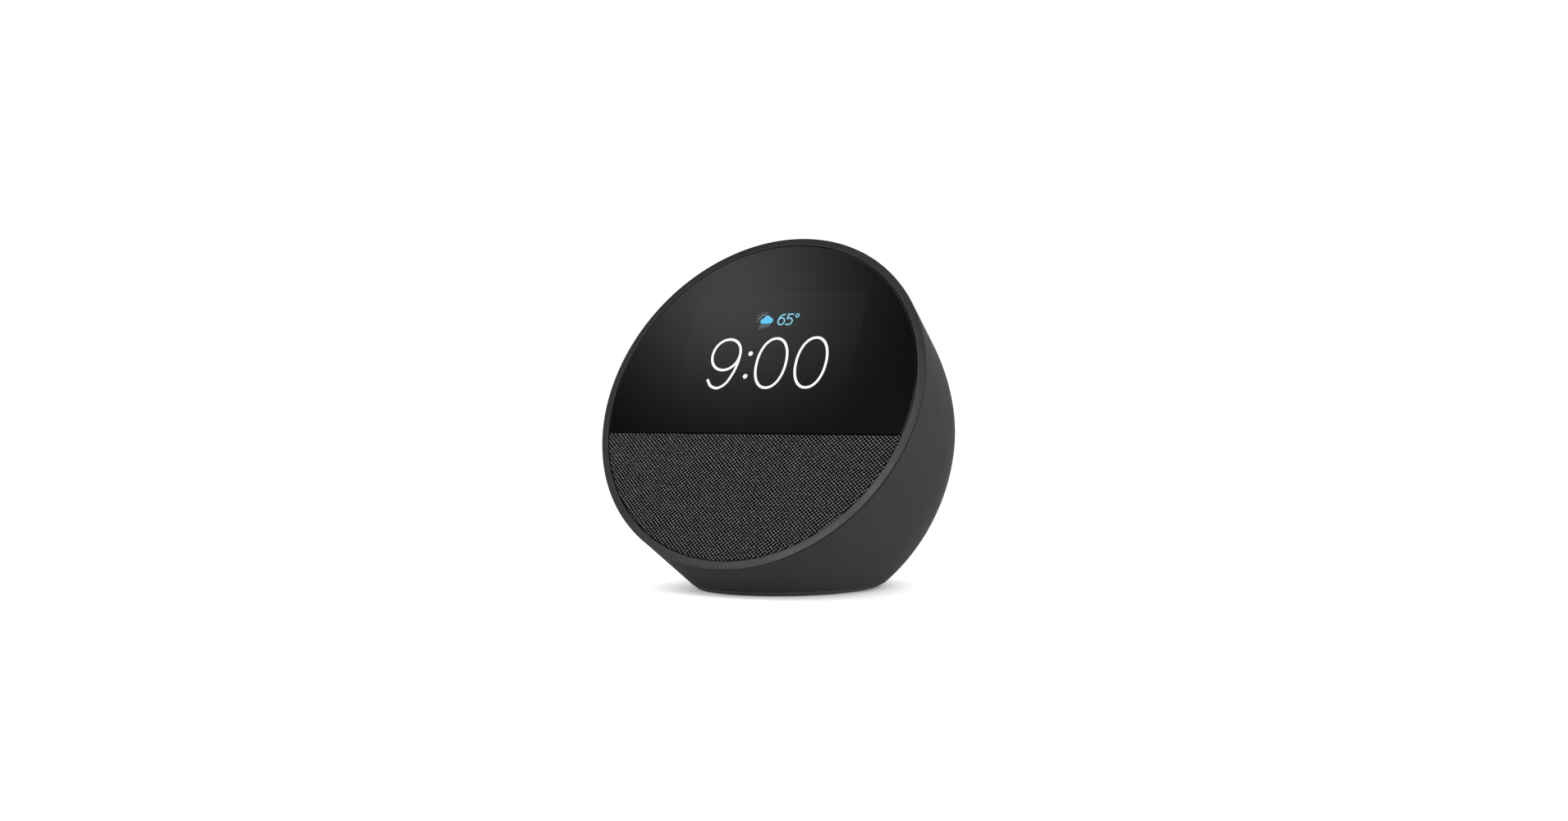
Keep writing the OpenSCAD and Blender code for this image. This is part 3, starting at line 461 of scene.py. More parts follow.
def make_rim(finish, inner_finish):
    # The band slopes back towards its outer edge, and its edges are rounded
    outer_r = 0.1
    inner_r = 0.16
    slope_way = 82
    top = corner((FACE_R - outer_r, -RIM_SLOPE - outer_r), outer_r, 0, slope_way)
    top += corner((OPENING_R + inner_r, -inner_r), inner_r, slope_way, 180)
    under = [
        (OPENING_R, -LEDGE_DEPTH),
        (RIM_FLANGE_R, -LEDGE_DEPTH),
        (RIM_FLANGE_R, -RIM_PLATE),
        (FACE_R - GROOVE_DEPTH, -RIM_PLATE),
        (FACE_R - GROOVE_DEPTH, -GROOVE_TOP),
        (FACE_R, -GROOVE_TOP),
    ]
    mesh = make_mesh("rim_form", *turned(top + under, AROUND))
    rim = add_piece("rim", mesh, "housing", finish, FACE)
    coat(mesh, inner_finish, lambda p: math.hypot(p.x, p.y) < OPENING_R + TOUCH / 2)
    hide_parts("rim_ring")


# The form's outline at a height, moved inwards
def outline_at(z, inset):
    eye = Vector((0, 0, z))
    ring = []
    for x, y, _ in circle(1, 0, AROUND):
        hit = OUTSIDE.ray_cast(eye, Vector((x, y, 0)))[0]
        r = (hit - eye).length - inset
        ring.append((x * r, y * r, z))
    return ring


def make_foot(finish):
    edge = 0.25
    bevel = 0.1
    # The underside is outlined just above the table, where rays still meet the form's side
    rings = [[(x, y, 0) for x, y, _ in outline_at(TOUCH, FOOT_INSET + edge)]]
    for a in (30, 60, 90):
        turn = math.radians(a)
        z = edge * (1 - math.cos(turn))
        rings.append(outline_at(z, FOOT_INSET + edge * (1 - math.sin(turn))))
    rings.append(outline_at(FOOT_H - bevel, FOOT_INSET))
    rings.append(outline_at(FOOT_H, FOOT_INSET + bevel))
    mesh = make_mesh("foot_form", *loft(rings, "flat", "flat"))
    foot = add_piece("foot", mesh, "housing", finish)
    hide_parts("base_foot")


# Along the split line the glass's edge is rounded by this share of what it is round the circle,
# and its outline has this many points there
SPLIT_ROUNDING = 0.1
SPLIT_POINTS = 42


# The outline of the cover glass, moved inwards, in the face's frame
def glass_outline(inset, z):
    r = INSERT_R - inset
    chord = SPLIT_V + SPLIT_GAP + SPLIT_ROUNDING * inset
    start = math.asin(chord / r)
    arc = np.linspace(start, math.pi - start, AROUND)
    ring = [(r * math.cos(a), r * math.sin(a), z) for a in arc]
    end = ring[-1][0]
    ring += [(u, chord, z) for u in np.linspace(end, -end, SPLIT_POINTS)[1:-1]]
    return ring


def make_glass(finish):
    edge = 0.25
    rings = [glass_outline(0, -GLASS_T), glass_outline(0, -edge)]
    for a in (22.5, 45, 67.5, 90):
        turn = math.radians(a)
        rings.append(glass_outline(edge * (1 - math.cos(turn)), edge * (math.sin(turn) - 1)))
    mesh = make_mesh("glass_form", *loft(rings, "flat", "flat"))
    # The front and the sides along the split line are flat
    mesh.polygons[-1].use_smooth = False
    for polygon in mesh.polygons:
        if polygon.normal.y < -0.5:
            polygon.use_smooth = False
    glass = add_piece("glass", mesh, "housing", finish, FACE)
    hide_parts("cover_glass")


# ---- What the screen shows ----

INK_FRONT = 0.012
INK_BACK = -0.03
# Steps between two points of a smooth line
LINE_STEPS = 10
# A stroke's round end has a cross-section at each of these angles from the stroke's side
END_ANGLES = (80, 60, 35, 15)


# A smooth line through points
def smooth_line(points):
    p = [Vector(q) for q in points]
    p = [2 * p[0] - p[1]] + p + [2 * p[-1] - p[-2]]
    line = []
    for a, b, c, d in zip(p, p[1:], p[2:], p[3:]):
        for i in range(LINE_STEPS):
            t = i / LINE_STEPS
            line.append(
                0.5
                * (
                    2 * b
                    + (c - a) * t
                    + (2 * a - 5 * b + 4 * c - d) * t**2
                    + (3 * b - a - 3 * c + d) * t**3
                )
            )
    line.append(p[-2])
    return line


# A flat stroke of one width along a line, with round ends where it is open.
# height gives the surface that it lies on.
def stroke(line, width, closed=False, height=lambda x, y: 0):
    count = len(line)
    marks = []
    for i, p in enumerate(line):
        before = line[(i - 1) % count] if closed or i else p
        after = line[(i + 1) % count] if closed or i < count - 1 else p
        way = (after - before).normalized()
        marks.append((p, way, width / 2))
    if not closed:
        ends = []
        for k in END_ANGLES:
            reach, half = math.sin(math.radians(k)), math.cos(math.radians(k))
            ends.append((reach * width / 2, half * width / 2))
        first, last = marks[0], marks[-1]
        marks = [(first[0] - first[1] * s, first[1], h) for s, h in ends] + marks
        marks += [(last[0] + last[1] * s, last[1], h) for s, h in ends[::-1]]
    rings = []
    for p, way, half in marks:
        side = Vector((-way.y, way.x)) * half
        left, right = p + side, p - side
        z = height(p.x, p.y)
        rings.append(
            [
                (left.x, left.y, z + INK_FRONT),
                (left.x, left.y, z + INK_BACK),
                (right.x, right.y, z + INK_BACK),
                (right.x, right.y, z + INK_FRONT),
            ]
        )
    if closed:
        return loft(rings, round_again=True)
    return loft(rings, "flat", "flat")


# A flat filled shape, whose front may lie lower than a stroke's
def blot(outline, front=INK_FRONT):
    return loft([[(x, y, z) for x, y in outline] for z in (INK_BACK, front)], "flat", "flat")


# Several shapes in one mesh
def together(shapes):
    points, faces = [], []
    for more_points, more_faces in shapes:
        faces += [tuple(i + len(points) for i in face) for face in more_faces]
        points += list(more_points)
    return points, faces


# A direction on the face, by its angle from straight right
def way_at(angle):
    return Vector((math.cos(math.radians(angle)), math.sin(math.radians(angle))))


def line_of(*points):
    return [Vector(p) for p in points]


# The outline of a cloud: round lobes on a block with a flat bottom, seen from a point inside them all
def cloud_outline(centre, lobes, block, count=120):
    outline = []
    for i in range(count):
        way = Vector((math.cos(math.tau * i / count), math.sin(math.tau * i / count)))
        across = (block[1] if way.x > 0 else block[0]) - centre.x
        along = (block[3] if way.y > 0 else block[2]) - centre.y
        reach = min(across / (way.x or 1e-9), along / (way.y or 1e-9))
        for x, y, r in lobes:
            to = Vector((x, y)) - centre
            ahead = to.dot(way)
            beside = r * r - (to.length_squared - ahead * ahead)
            if beside > 0:
                reach = max(reach, ahead + math.sqrt(beside))
        outline.append(tuple(centre + way * reach))
    return outline


# Lower and upper edge of the lit area on the face, half its width and the radius of its corners
LIT_BOTTOM = -8.6
LIT_TOP = 36.5
LIT_HALF = 31.2
LIT_CORNER = 0.8
CLOCK_STROKE = 0.88
CLOCK_MID = 11.8
DIGIT_HALF = (5.3, 8.55)
COLON_R = 0.8
TEXT_STROKE = 0.42
DEGREE_R = 0.56
DEGREE_STROKE = 0.34
# The sun behind the cloud: where its rays start and end, and the arc inside them
RAY_REACH = (1.98, 2.6)
RAY_STROKE = 0.2
HALO_R = 1.45
HALO_STROKE = 0.24
DROP_STROKE = 0.22


def make_screen(white, cyan, blue, haze, lit):
    def shown(name, shapes, finish):
        mesh = make_mesh(name + "_form", *together(shapes))
        add_piece(name, mesh, "housing", finish, FACE)

    def zero(u):
        return stroke(oval_line((u, CLOCK_MID), DIGIT_HALF, power=2.12), CLOCK_STROKE, True)

    bowl = oval_line((-14.85, 14.95), (5.1, 5.4), power=2.05)
    stem = [(-9.72, 15.3), (-9.85, 12), (-10.75, 8.4), (-12.5, 4.9), (-15.15, 3.25), (-17.8, 3.95)]
    stem = smooth_line(stem + [(-19.5, 6)])
    shown("clock_hour", [stroke(bowl, CLOCK_STROKE, True), stroke(stem, CLOCK_STROKE)], white)
    shown("clock_minutes", [zero(2.4), zero(16.6)], white)
    dots = [blot(oval_line((-5.93, v), (COLON_R, COLON_R))) for v in (15.2, 7.25)]
    shown("clock_colon", dots, white)

    six = [
        stroke(oval_line((2.42, 26.42), (1.14, 1.2)), TEXT_STROKE, True),
        stroke(smooth_line([(1.3, 26.3), (1.42, 27.4), (2.1, 28.45), (3.35, 28.85)]), TEXT_STROKE),
    ]
    belly = [(4.5, 27.25), (5.5, 27.5), (6.4, 26.6), (6, 25.55), (5.1, 25.15), (4.25, 25.4)]
    five = [
        stroke(line_of((4.55, 28.85), (6.35, 28.85)), TEXT_STROKE),
        stroke(line_of((4.62, 28.85), (4.5, 27.25)), TEXT_STROKE),
        stroke(smooth_line(belly), TEXT_STROKE),
    ]
    ring = stroke(oval_line((7.85, 28.3), (DEGREE_R, DEGREE_R)), DEGREE_STROKE, True)
    shown("temperature", six + five + [ring], cyan)

    lobes = ((-4.3, 26.6, 0.9), (-2.95, 27.32, 1.26), (-1.72, 26.75, 1.05))
    outline = cloud_outline(Vector((-2.95, 26.7)), lobes, (-4.3, -1.7, 25.7, 26.9))
    shown("weather_cloud", [blot(outline)], blue)

    sun = Vector((-4.25, 27.35))
    rays = []
    for a in range(68, 202, 26):
        rays.append(stroke([sun + way_at(a) * r for r in RAY_REACH], RAY_STROKE))
    halo = [sun + HALO_R * way_at(a) for a in range(62, 196, 8)]
    rays.append(stroke(halo, HALO_STROKE))
    drops = (
        ((-4.58, 25.36), (-5.24, 24.74)),
        ((-3.54, 25.42), (-5.02, 23.9)),
        ((-2.48, 25.42), (-3.66, 24.2)),
        ((-1.4, 25.42), (-2.32, 24.5)),
    )
    rays += [stroke(line_of(*drop), DROP_STROKE) for drop in drops]
    shown("weather_rays", rays, haze)

    # The lit area is barely lighter than the black border round it: its backlight glow is painted into
    # its base colour
    left, right = LIT_CORNER - LIT_HALF, LIT_HALF - LIT_CORNER
    bottom, top = LIT_BOTTOM + LIT_CORNER, LIT_TOP - LIT_CORNER
    outline = []
    for at, a in (((right, top), 0), ((left, top), 90), ((left, bottom), 180), ((right, bottom), 270)):
        outline += corner(at, LIT_CORNER, a, a + 90)
    shown("lit_area", [blot(outline, INK_FRONT / 3)], lit)


# ---- Grille cloth ----

# The yarns run diagonally, and cross at this spacing across the face and up it
WEAVE_U = 1.43
WEAVE_V = 1.25
# Half a yarn's width, in spaces between yarns
YARN_HALF = 0.3
# A yarn's crown stands this far over its sides, and rises and dips by this much at crossings
YARN_RISE = 0.18
YARN_CROSS = 0.1
# The yarns' widths differ by up to this share
YARN_UNEVEN = 0.08
# Height of the holes between yarns
HOLE_DEPTH = -0.2
# Space between the mesh's points, and how much its rows crowd together downwards
CLOTH_STEP = 0.17
ROW_CROWDING = 1.35
# Height of the weave's middle over the face's plane
CLOTH_MEAN = -0.34
# Near its edge the cloth turns down, within this distance and by this share of a quarter circle
CLOTH_TURN = 0.5
CLOTH_FALL = 0.8
# The lowest row stays this far off the outline's lowest point, so that it has some length
CLOTH_GAP = 0.02
# Painted shade: how light a yarn is painted where the other way's yarns pass over it
UNDER_PAINTED_SHADE = 0.18


# How far across each way's yarns a place on the face is, in spaces between yarns, which wander a little
def strands(u, v):
    a = u / WEAVE_U + v / WEAVE_V
    b = u / WEAVE_U - v / WEAVE_V
    # Two slow waves, 17 to 30 mm long
    drift = 0.06 * np.sin(0.31 * u + 0.5 * np.sin(0.23 * v)) + 0.05 * np.sin(0.37 * v + 0.21 * u)
    return a + drift, b - 0.7 * drift


# Height of the weave over its middle, where each way's yarns pass over and under the other's in turn
def weave(a, b):
    row_a, row_b = np.round(a), np.round(b)

    def yarn(off, cross, thick):
        body = np.sqrt(np.clip(1 - (off / (YARN_HALF * thick)) ** 2, 0, 1))
        return np.where(body > 0, YARN_RISE * body + YARN_CROSS * cross, HOLE_DEPTH)

    # Each yarn has a width of its own, by its number
    thick_a = 1 + YARN_UNEVEN * np.sin(2.4 * row_a) * np.sin(1.7 * row_a)
    thick_b = 1 + YARN_UNEVEN * np.sin(2.9 * row_b + 1)
    high_a = yarn(a - row_a, np.cos(np.pi * (row_a + b)), thick_a)
    high_b = yarn(b - row_b, -np.cos(np.pi * (row_b + a)), thick_b)
    return np.maximum(np.maximum(high_a, high_b), HOLE_DEPTH)


def make_cloth(finish):
    top = SPLIT_V - SPLIT_GAP
    rows = int((INSERT_R + top) / CLOTH_STEP) + 1
    columns = int(2 * INSERT_R / CLOTH_STEP)
    # Rows crowd together towards the lowest point, where the outline turns fastest
    share = np.linspace(0, 1, rows)
    low = -INSERT_R + CLOTH_GAP
    v = top + (low - top) * (1 - (1 - share) ** ROW_CROWDING)
    half = np.sqrt(INSERT_R**2 - v**2)
    u = np.linspace(-1, 1, columns)[None, :] * half[:, None]
    v = np.repeat(v[:, None], columns, 1)
    # It turns down four times as sharply along the split line as round the circle
    edge = np.minimum(INSERT_R - np.hypot(u, v), 4 * (top - v))
    short = np.clip(CLOTH_TURN - edge, 0, CLOTH_TURN)
    drop = CLOTH_TURN - np.sqrt(np.clip(CLOTH_TURN**2 - short**2, 0, None))
    strand_a, strand_b = strands(u, v)
    relief = weave(strand_a, strand_b)
    z = CLOTH_MEAN + relief - CLOTH_FALL * drop
    points = np.stack([u, v, z], -1).reshape(-1, 3) * MM
    index = np.arange(rows * columns).reshape(rows, columns)
    faces = np.stack([index[:-1, :-1], index[1:, :-1], index[1:, 1:], index[:-1, 1:]], -1)
    mesh = bpy.data.meshes.new("cloth_form")
    mesh.from_pydata(points.tolist(), [], faces.reshape(-1, 4).tolist())
    mesh.shade_smooth()
    for name, values in (("strand_a", strand_a), ("strand_b", strand_b)):
        strand = mesh.attributes.new(name, "FLOAT", "POINT")
        strand.data.foreach_set("value", values.reshape(-1).astype(np.float32))
    cloth = add_piece("grille_cloth", mesh, "housing", finish, FACE)
    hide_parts("grille_fabric")


# ---- Buttons ----

# Rings of points on a cap's top, and the radius of its rounded edge
CAP_RINGS = (0.9, 1.8, 2.7, 3.5)
CAP_EDGE = 0.45
# Rays that find the form over a cap start this far below it
CAP_RAY = 10
# Half the length of a bar, the ring's radius, the half length of its slash along x, and stroke widths
BAR_HALF = 1.35
MUTE_R = 1.45
SLASH_HALF = 1.02
BAR_STROKE = 0.42
MUTE_STROKE = 0.36


# Height of a cap's top in its control frame
def cap_height(place):
    back = place.inverted()
    outward = (place.to_3x3() @ Vector((0, 0, 1))).normalized()

    def height(x, y):
        start = place @ Vector((x, y, CAP_FOOT - CAP_RAY))
        hit = OUTSIDE.ray_cast(start, outward)[0]
        return (back @ hit).z + CAP_RISE

    return height


def make_cap(name, node, body, angle, marks, finish, ink):
    place = control_frame(angle)
    height = cap_height(place)
    rings = [[(x, y, height(x, y)) for x, y, _ in circle(r, 0, FINE)] for r in CAP_RINGS]
    for a in range(0, 91, 18):
        turn = math.radians(a)
        r = CAP_R - CAP_EDGE + CAP_EDGE * math.sin(turn)
        fall = CAP_EDGE * (1 - math.cos(turn))
        rings.append([(x, y, height(x, y) - fall) for x, y, _ in circle(r, 0, FINE)])
    flange = ((CAP_R, CAP_FLANGE_TOP), (CAP_FLANGE_R, CAP_FLANGE_TOP), (CAP_FLANGE_R, CAP_FOOT))
    rings += [circle(r, z, FINE) for r, z in flange]
    rings = rings[::-1]
    mesh = make_mesh(name + "_form", *loft(rings, "flat", (0, 0, height(0, 0))))
    cap = add_piece(name, mesh, body, finish, place)
    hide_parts(node)
    shapes = [stroke(line, width, closed, height) for line, width, closed in marks]
    mesh = make_mesh(name + "_mark_form", *together(shapes))
    add_piece(name + "_mark", mesh, body, ink, place)


def straight(start, end, steps=8):
    start, end = Vector(start), Vector(end)
    return [start.lerp(end, i / steps) for i in range(steps + 1)]


def make_caps(finish, ink):
    bar = (straight((-BAR_HALF, 0), (BAR_HALF, 0)), BAR_STROKE, False)
    upright = (straight((0, -BAR_HALF), (0, BAR_HALF)), BAR_STROKE, False)
    ring = (oval_line((0, 0), (MUTE_R, MUTE_R), 2, FINE // 2), MUTE_STROKE, True)
    slash = (straight((-SLASH_HALF, -SLASH_HALF), (SLASH_HALF, SLASH_HALF)), MUTE_STROKE, False)
    for name, node, body, angle, marks in (
        ("volume_down_button", "volume_down_cap", "volume_down", -BUTTON_PITCH, [bar]),
        ("volume_up_button", "volume_up_cap", "volume_up", 0, [bar, upright]),
        ("mute_button", "mute_cap", "microphone_mute", BUTTON_PITCH, [ring, slash]),
    ):
        make_cap(name, node, body, angle, marks, finish, ink)


# ---- Finishes ----

# Nearly all of a noise node's values lie between these
NOISE_LOW = 0.3
NOISE_HIGH = 0.7
GLASS_ROUGH = 0.03
GLASS_IOR = 1.5
# A moulded surface's roughness varies by this much either way
GLOSS_SPREAD = 0.05


# A maths node in a tree, from numbers and other nodes' outputs
def add_maths(tree, operation, *values):
    node = tree.nodes.new("ShaderNodeMath")
    node.operation = operation
    for socket, value in zip(node.inputs, values):
        if isinstance(value, (int, float)):
            socket.default_value = value
        else:
            tree.links.new(value, socket)
    return node.outputs["Value"]


def grey(level):
    return (level, level, level)


# Two tones for a noise node
def two_tones(low, high):
    return [(NOISE_LOW, low), (NOISE_HIGH, high)]


class Nodes:
    """The node tree of one finish, with short ways to add nodes and links."""

    def __init__(self, name):
        self.material = bpy.data.materials.new(name)
        self.material.use_nodes = True
        self.tree = self.material.node_tree
        self.shader = self.tree.nodes["Principled BSDF"]
        self.place = self.tree.nodes.new("ShaderNodeTexCoord").outputs["Object"]

    def add(self, kind, **settings):
        node = self.tree.nodes.new(kind)
        for key, value in settings.items():
            if hasattr(node, key):
                setattr(node, key, value)
            else:
                node.inputs[key.replace("_", " ").title()].default_value = value
        return node

    def link(self, start, end):
        self.tree.links.new(start, end)

    def stretched(self, stretch):
        node = self.add("ShaderNodeMapping")
        node.inputs["Scale"].default_value = stretch
        self.link(self.place, node.inputs["Vector"])
        return node.outputs["Vector"]

    def noise(self, scale, detail, where=None):
        node = self.add("ShaderNodeTexNoise", scale=scale, detail=detail)
        self.link(where or self.place, node.inputs["Vector"])
        return node.outputs["Fac"]

    def ramp(self, source, stops):
        node = self.add("ShaderNodeValToRGB")
        points = node.color_ramp.elements
        while len(points) < len(stops):
            points.new(0.5)
        for point, (at, colour) in zip(points, stops):
            point.position = at
            point.color = (*colour, 1)
        self.link(source, node.inputs["Fac"])
        return node.outputs["Color"]

    def spread(self, source, low, high):
        node = self.add("ShaderNodeMapRange", from_min=NOISE_LOW, from_max=NOISE_HIGH)
        node.inputs["To Min"].default_value = low
        node.inputs["To Max"].default_value = high
        self.link(source, node.inputs["Value"])
        return node.outputs["Result"]

    def bump(self, source, depth):
        node = self.add("ShaderNodeBump", strength=1, distance=depth * MM)
        self.link(source, node.inputs["Height"])
        self.link(node.outputs["Normal"], self.shader.inputs["Normal"])

    def set(self, **values):
        for key, value in values.items():
            self.shader.inputs[key.replace("_", " ")].default_value = value


def shade(colour, factor):
    return tuple(min(c * factor, 1) for c in colour)


# A moulded, pressed or cast surface: mottled colour, uneven gloss and a fine grain
def moulded(
    name, colour, rough, metal=0, mottle=0.12, grain=6000, depth=0.004, stretch=None, gloss=0.5
):
    made = Nodes(name)
    where = made.stretched(stretch) if stretch else None
    broad = made.noise(90, 2)
    fine = made.noise(grain, 2, where)
    stops = two_tones(shade(colour, 1 - mottle), shade(colour, 1 + mottle))
    made.link(made.ramp(fine if stretch else broad, stops), made.shader.inputs["Base Color"])
    uneven = made.spread(broad, rough - GLOSS_SPREAD, rough + GLOSS_SPREAD)
    made.link(uneven, made.shader.inputs["Roughness"])
    made.bump(fine, depth)
    made.set(Metallic=metal, Specular_IOR_Level=gloss)
    return made.material


# A printed circuit board: solder mask over thin copper tracks
def board_finish(name):
    made = Nodes(name)
    cells = made.add("ShaderNodeTexVoronoi", feature="DISTANCE_TO_EDGE", scale=420)
    made.link(made.stretched((1, 2.2, 1)), cells.inputs["Vector"])
    stops = [(0.02, (0.09, 0.26, 0.12)), (0.06, (0.012, 0.1, 0.045)), (0.6, (0.016, 0.12, 0.055))]
    made.link(made.ramp(cells.outputs["Distance"], stops), made.shader.inputs["Base Color"])
    made.bump(cells.outputs["Distance"], 0.03)
    made.set(Roughness=0.35)
    return made.material


# Glass printed black behind: it shows only its gloss and the faintest cloudiness
def glass_finish(name, colour, rough=GLASS_ROUGH):
    made = Nodes(name)
    cloudy = made.noise(60, 2)
    stops = two_tones(shade(colour, 0.9), shade(colour, 1.1))
    made.link(made.ramp(cloudy, stops), made.shader.inputs["Base Color"])
    made.set(Roughness=rough, IOR=GLASS_IOR)
    return made.material


# Lit picture elements, a little uneven from one to the next
def lit_finish(name, colour, strength):
    made = Nodes(name)
    cells = made.noise(5200, 1)
    glow = made.ramp(cells, two_tones(shade(colour, 0.94), colour))
    made.link(glow, made.shader.inputs["Emission Color"])
    made.link(made.ramp(cells, [(0, grey(0.01)), (1, grey(0.014))]), made.shader.inputs["Base Color"])
    made.set(Emission_Strength=strength, Roughness=0.05)
    return made.material


# Painted backlight glow behind the black glass: no emission, but a base colour that is lightest in the
# upper half and fades out downwards
def painted_glow_finish(name, tones):
    made = Nodes(name)
    parts = made.add("ShaderNodeSeparateXYZ")
    made.link(made.place, parts.inputs["Vector"])
    rise = made.add("ShaderNodeMapRange", from_min=LIT_BOTTOM * MM, from_max=LIT_TOP * MM)
    made.link(parts.outputs["Y"], rise.inputs["Value"])
    stops = [(at, (tone, tone, tone * 1.06)) for at, tone in tones]
    made.link(made.ramp(rise.outputs["Result"], stops), made.shader.inputs["Base Color"])
    made.set(Roughness=GLASS_ROUGH, IOR=GLASS_IOR)
    return made.material


# Painted light across a yarn, from a painted highlight on its crown out to painted shade at its edges,
# by distance in spaces between yarns
YARN_PAINTED_LIGHT = [(0, grey(1)), (0.1, grey(0.7)), (0.19, grey(0.1)), (0.25, grey(0))]
# The yarn's own unevenness, and the cloth's colour by how much painted light the weave has at a place
FLECK_TONES = [(0.3, grey(0.45)), (0.52, grey(0.6)), (0.7, grey(0.95))]
CLOTH_TONES = [(0, grey(0.0002)), (0.2, grey(0.002)), (1, (0.6, 0.6, 0.604))]


# Woven yarn in painted light: painted shade makes the gaps black and the flanks charcoal, and a painted
# highlight lightens each yarn's crown
def cloth_finish(name):
    made = Nodes(name)

    def maths(operation, *values):
        return add_maths(made.tree, operation, *values)

    def strand(way):
        return made.add("ShaderNodeAttribute", attribute_name="strand_" + way).outputs["Fac"]

    way_a, way_b = strand("a"), strand("b")
    yarns = []
    # Each yarn gets a painted highlight along its crown and where it passes over the other way's yarns,
    # and painted shade where it passes under them
    for own, other, start, end in ((way_a, way_b, 1, UNDER_PAINTED_SHADE), (way_b, way_a, UNDER_PAINTED_SHADE, 1)):
        crown = made.ramp(maths("PINGPONG", own, 0.5), YARN_PAINTED_LIGHT)
        passed = maths("PINGPONG", maths("ADD", maths("ROUND", own), other), 1)
        over = made.ramp(passed, [(0, grey(start)), (1, grey(end))])
        yarns.append(maths("MULTIPLY", crown, over))
    fleck = made.ramp(made.noise(3200, 2), FLECK_TONES)
    # The painted highlight and shade, times the yarn's own flecks
    light = maths("MULTIPLY", maths("MAXIMUM", *yarns), fleck)
    tone = made.ramp(light, CLOTH_TONES)
    made.link(tone, made.shader.inputs["Base Color"])
    made.bump(made.noise(9000, 2, made.stretched((1, 1, 0.4))), 0.03)
    made.set(Roughness=0.85, Specular_IOR_Level=0.02, Sheen_Weight=0.01, Sheen_Roughness=0.5)
    return made.material


SHELL = moulded(
    "shell_plastic", (0.0275, 0.0275, 0.028), 0.5, mottle=0.04, grain=7000, depth=0.006, gloss=0.006
)
RIM = moulded("rim_plastic", (0.009, 0.009, 0.0092), 0.44, mottle=0.06, grain=9000, depth=0.002)
GLASS = glass_finish("cover_glass", (0.0008, 0.0008, 0.00085))
CLOTH = cloth_finish("grille_cloth")
RUBBER = moulded("rubber", (0.03, 0.03, 0.0303), 0.75, mottle=0.15, grain=5000, depth=0.01, gloss=0.35)
BUTTON = moulded("button_plastic", (0.026, 0.026, 0.027), 0.42, depth=0.003, grain=8000)
INK = moulded("button_ink", (0.42, 0.42, 0.43), 0.5, mottle=0.06, depth=0.001)
WHITE = lit_finish("screen_white", (1, 1, 1), 1)
CYAN = lit_finish("screen_cyan", (0.26, 0.78, 1), 0.9)
BLUE = lit_finish("screen_blue", (0.09, 0.56, 0.92), 1)
HAZE = lit_finish("screen_haze", (0.2, 0.28, 0.33), 1)
# Painted backlight tones of the lit area from its lower edge to its upper one
LIT_TONES = ((0, 0.001), (0.26, 0.0014), (0.37, 0.0021), (0.48, 0.0031), (0.6, 0.0038), (1, 0.0042))
LIT = painted_glow_finish("screen_area", LIT_TONES)

# How much finer the grain is along each axis, across brush marks and across a coil's turns
BRUSHED = (1, 12, 1)
WOUND = (1, 1, 14)


def metal_finish(name, colour, rough, mottle, grain, depth, stretch=BRUSHED):
    return moulded(name, colour, rough, 1, mottle, grain, depth, stretch)


FINISHES = {
    "shell_plastic": SHELL,
    "rim_plastic": RIM,
    "cover_glass": GLASS,
    "grille_cloth": CLOTH,
    "rubber": RUBBER,
    "button_plastic": BUTTON,
    "inner_plastic": moulded("inner_plastic", (0.012, 0.012, 0.0125), 0.55, grain=5000, depth=0.008),
    "steel": metal_finish("steel", (0.56, 0.57, 0.58), 0.3, 0.08, 700, 0.004),
    "aluminium": metal_finish("aluminium", (0.8, 0.81, 0.82), 0.34, 0.06, 500, 0.004),
    "brass": metal_finish("brass", (0.8, 0.58, 0.26), 0.28, 0.08, 900, 0.003),
    "magnet_ferrite": moulded(
        "magnet_ferrite", (0.035, 0.036, 0.04), 0.6, metal=0.3, mottle=0.25, grain=2500, depth=0.02
    ),
    "circuit_board": board_finish("circuit_board"),
    "chip_plastic": moulded("chip_plastic", (0.014, 0.014, 0.015), 0.45, grain=4000, depth=0.006),
    "connector_plastic": moulded("connector_plastic", (0.6, 0.57, 0.48), 0.45, mottle=0.06),
    "flex_film": moulded("flex_film", (0.4, 0.2, 0.04), 0.3, mottle=0.15, grain=1500, depth=0.004),
    "display_glass": glass_finish("display_glass", (0.006, 0.006, 0.008), 0.1),
    "paper_cone": moulded(
        "paper_cone", (0.018, 0.017, 0.016), 0.85, mottle=0.3, grain=2600, depth=0.03
    ),
    "copper_wire": metal_finish("copper_wire", (0.72, 0.32, 0.15), 0.3, 0.1, 900, 0.01, WOUND),
    "cable_jacket": moulded("cable_jacket", (0.016, 0.016, 0.017), 0.5, grain=4000, depth=0.005),
    "thermal_pad": moulded("thermal_pad", (0.2, 0.22, 0.3), 0.8, mottle=0.12, grain=1800, depth=0.02),
}

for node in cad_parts.values():
    for place in node.material_slots:
        place.material = FINISHES[place.material.name]

make_shell(SHELL, FINISHES["inner_plastic"])
make_rim(RIM, FINISHES["inner_plastic"])
make_foot(RUBBER)
make_glass(GLASS)
make_screen(WHITE, CYAN, BLUE, HAZE, LIT)
make_cloth(CLOTH)
make_caps(BUTTON, INK)

# ---- Studio ----

FLOOR_R = 9000
FLOOR_GLOW = 1.2
# The shadow reaches this many metres, and has these tones by how open to the sky a place is
SHADOW_REACH = 0.09
SHADOW_TONES = ((0, 0.1), (0.22, 0.435), (0.27, 0.57), (0.34, 0.68), (0.4, 0.8), (0.55, 0.92), (1, 1))


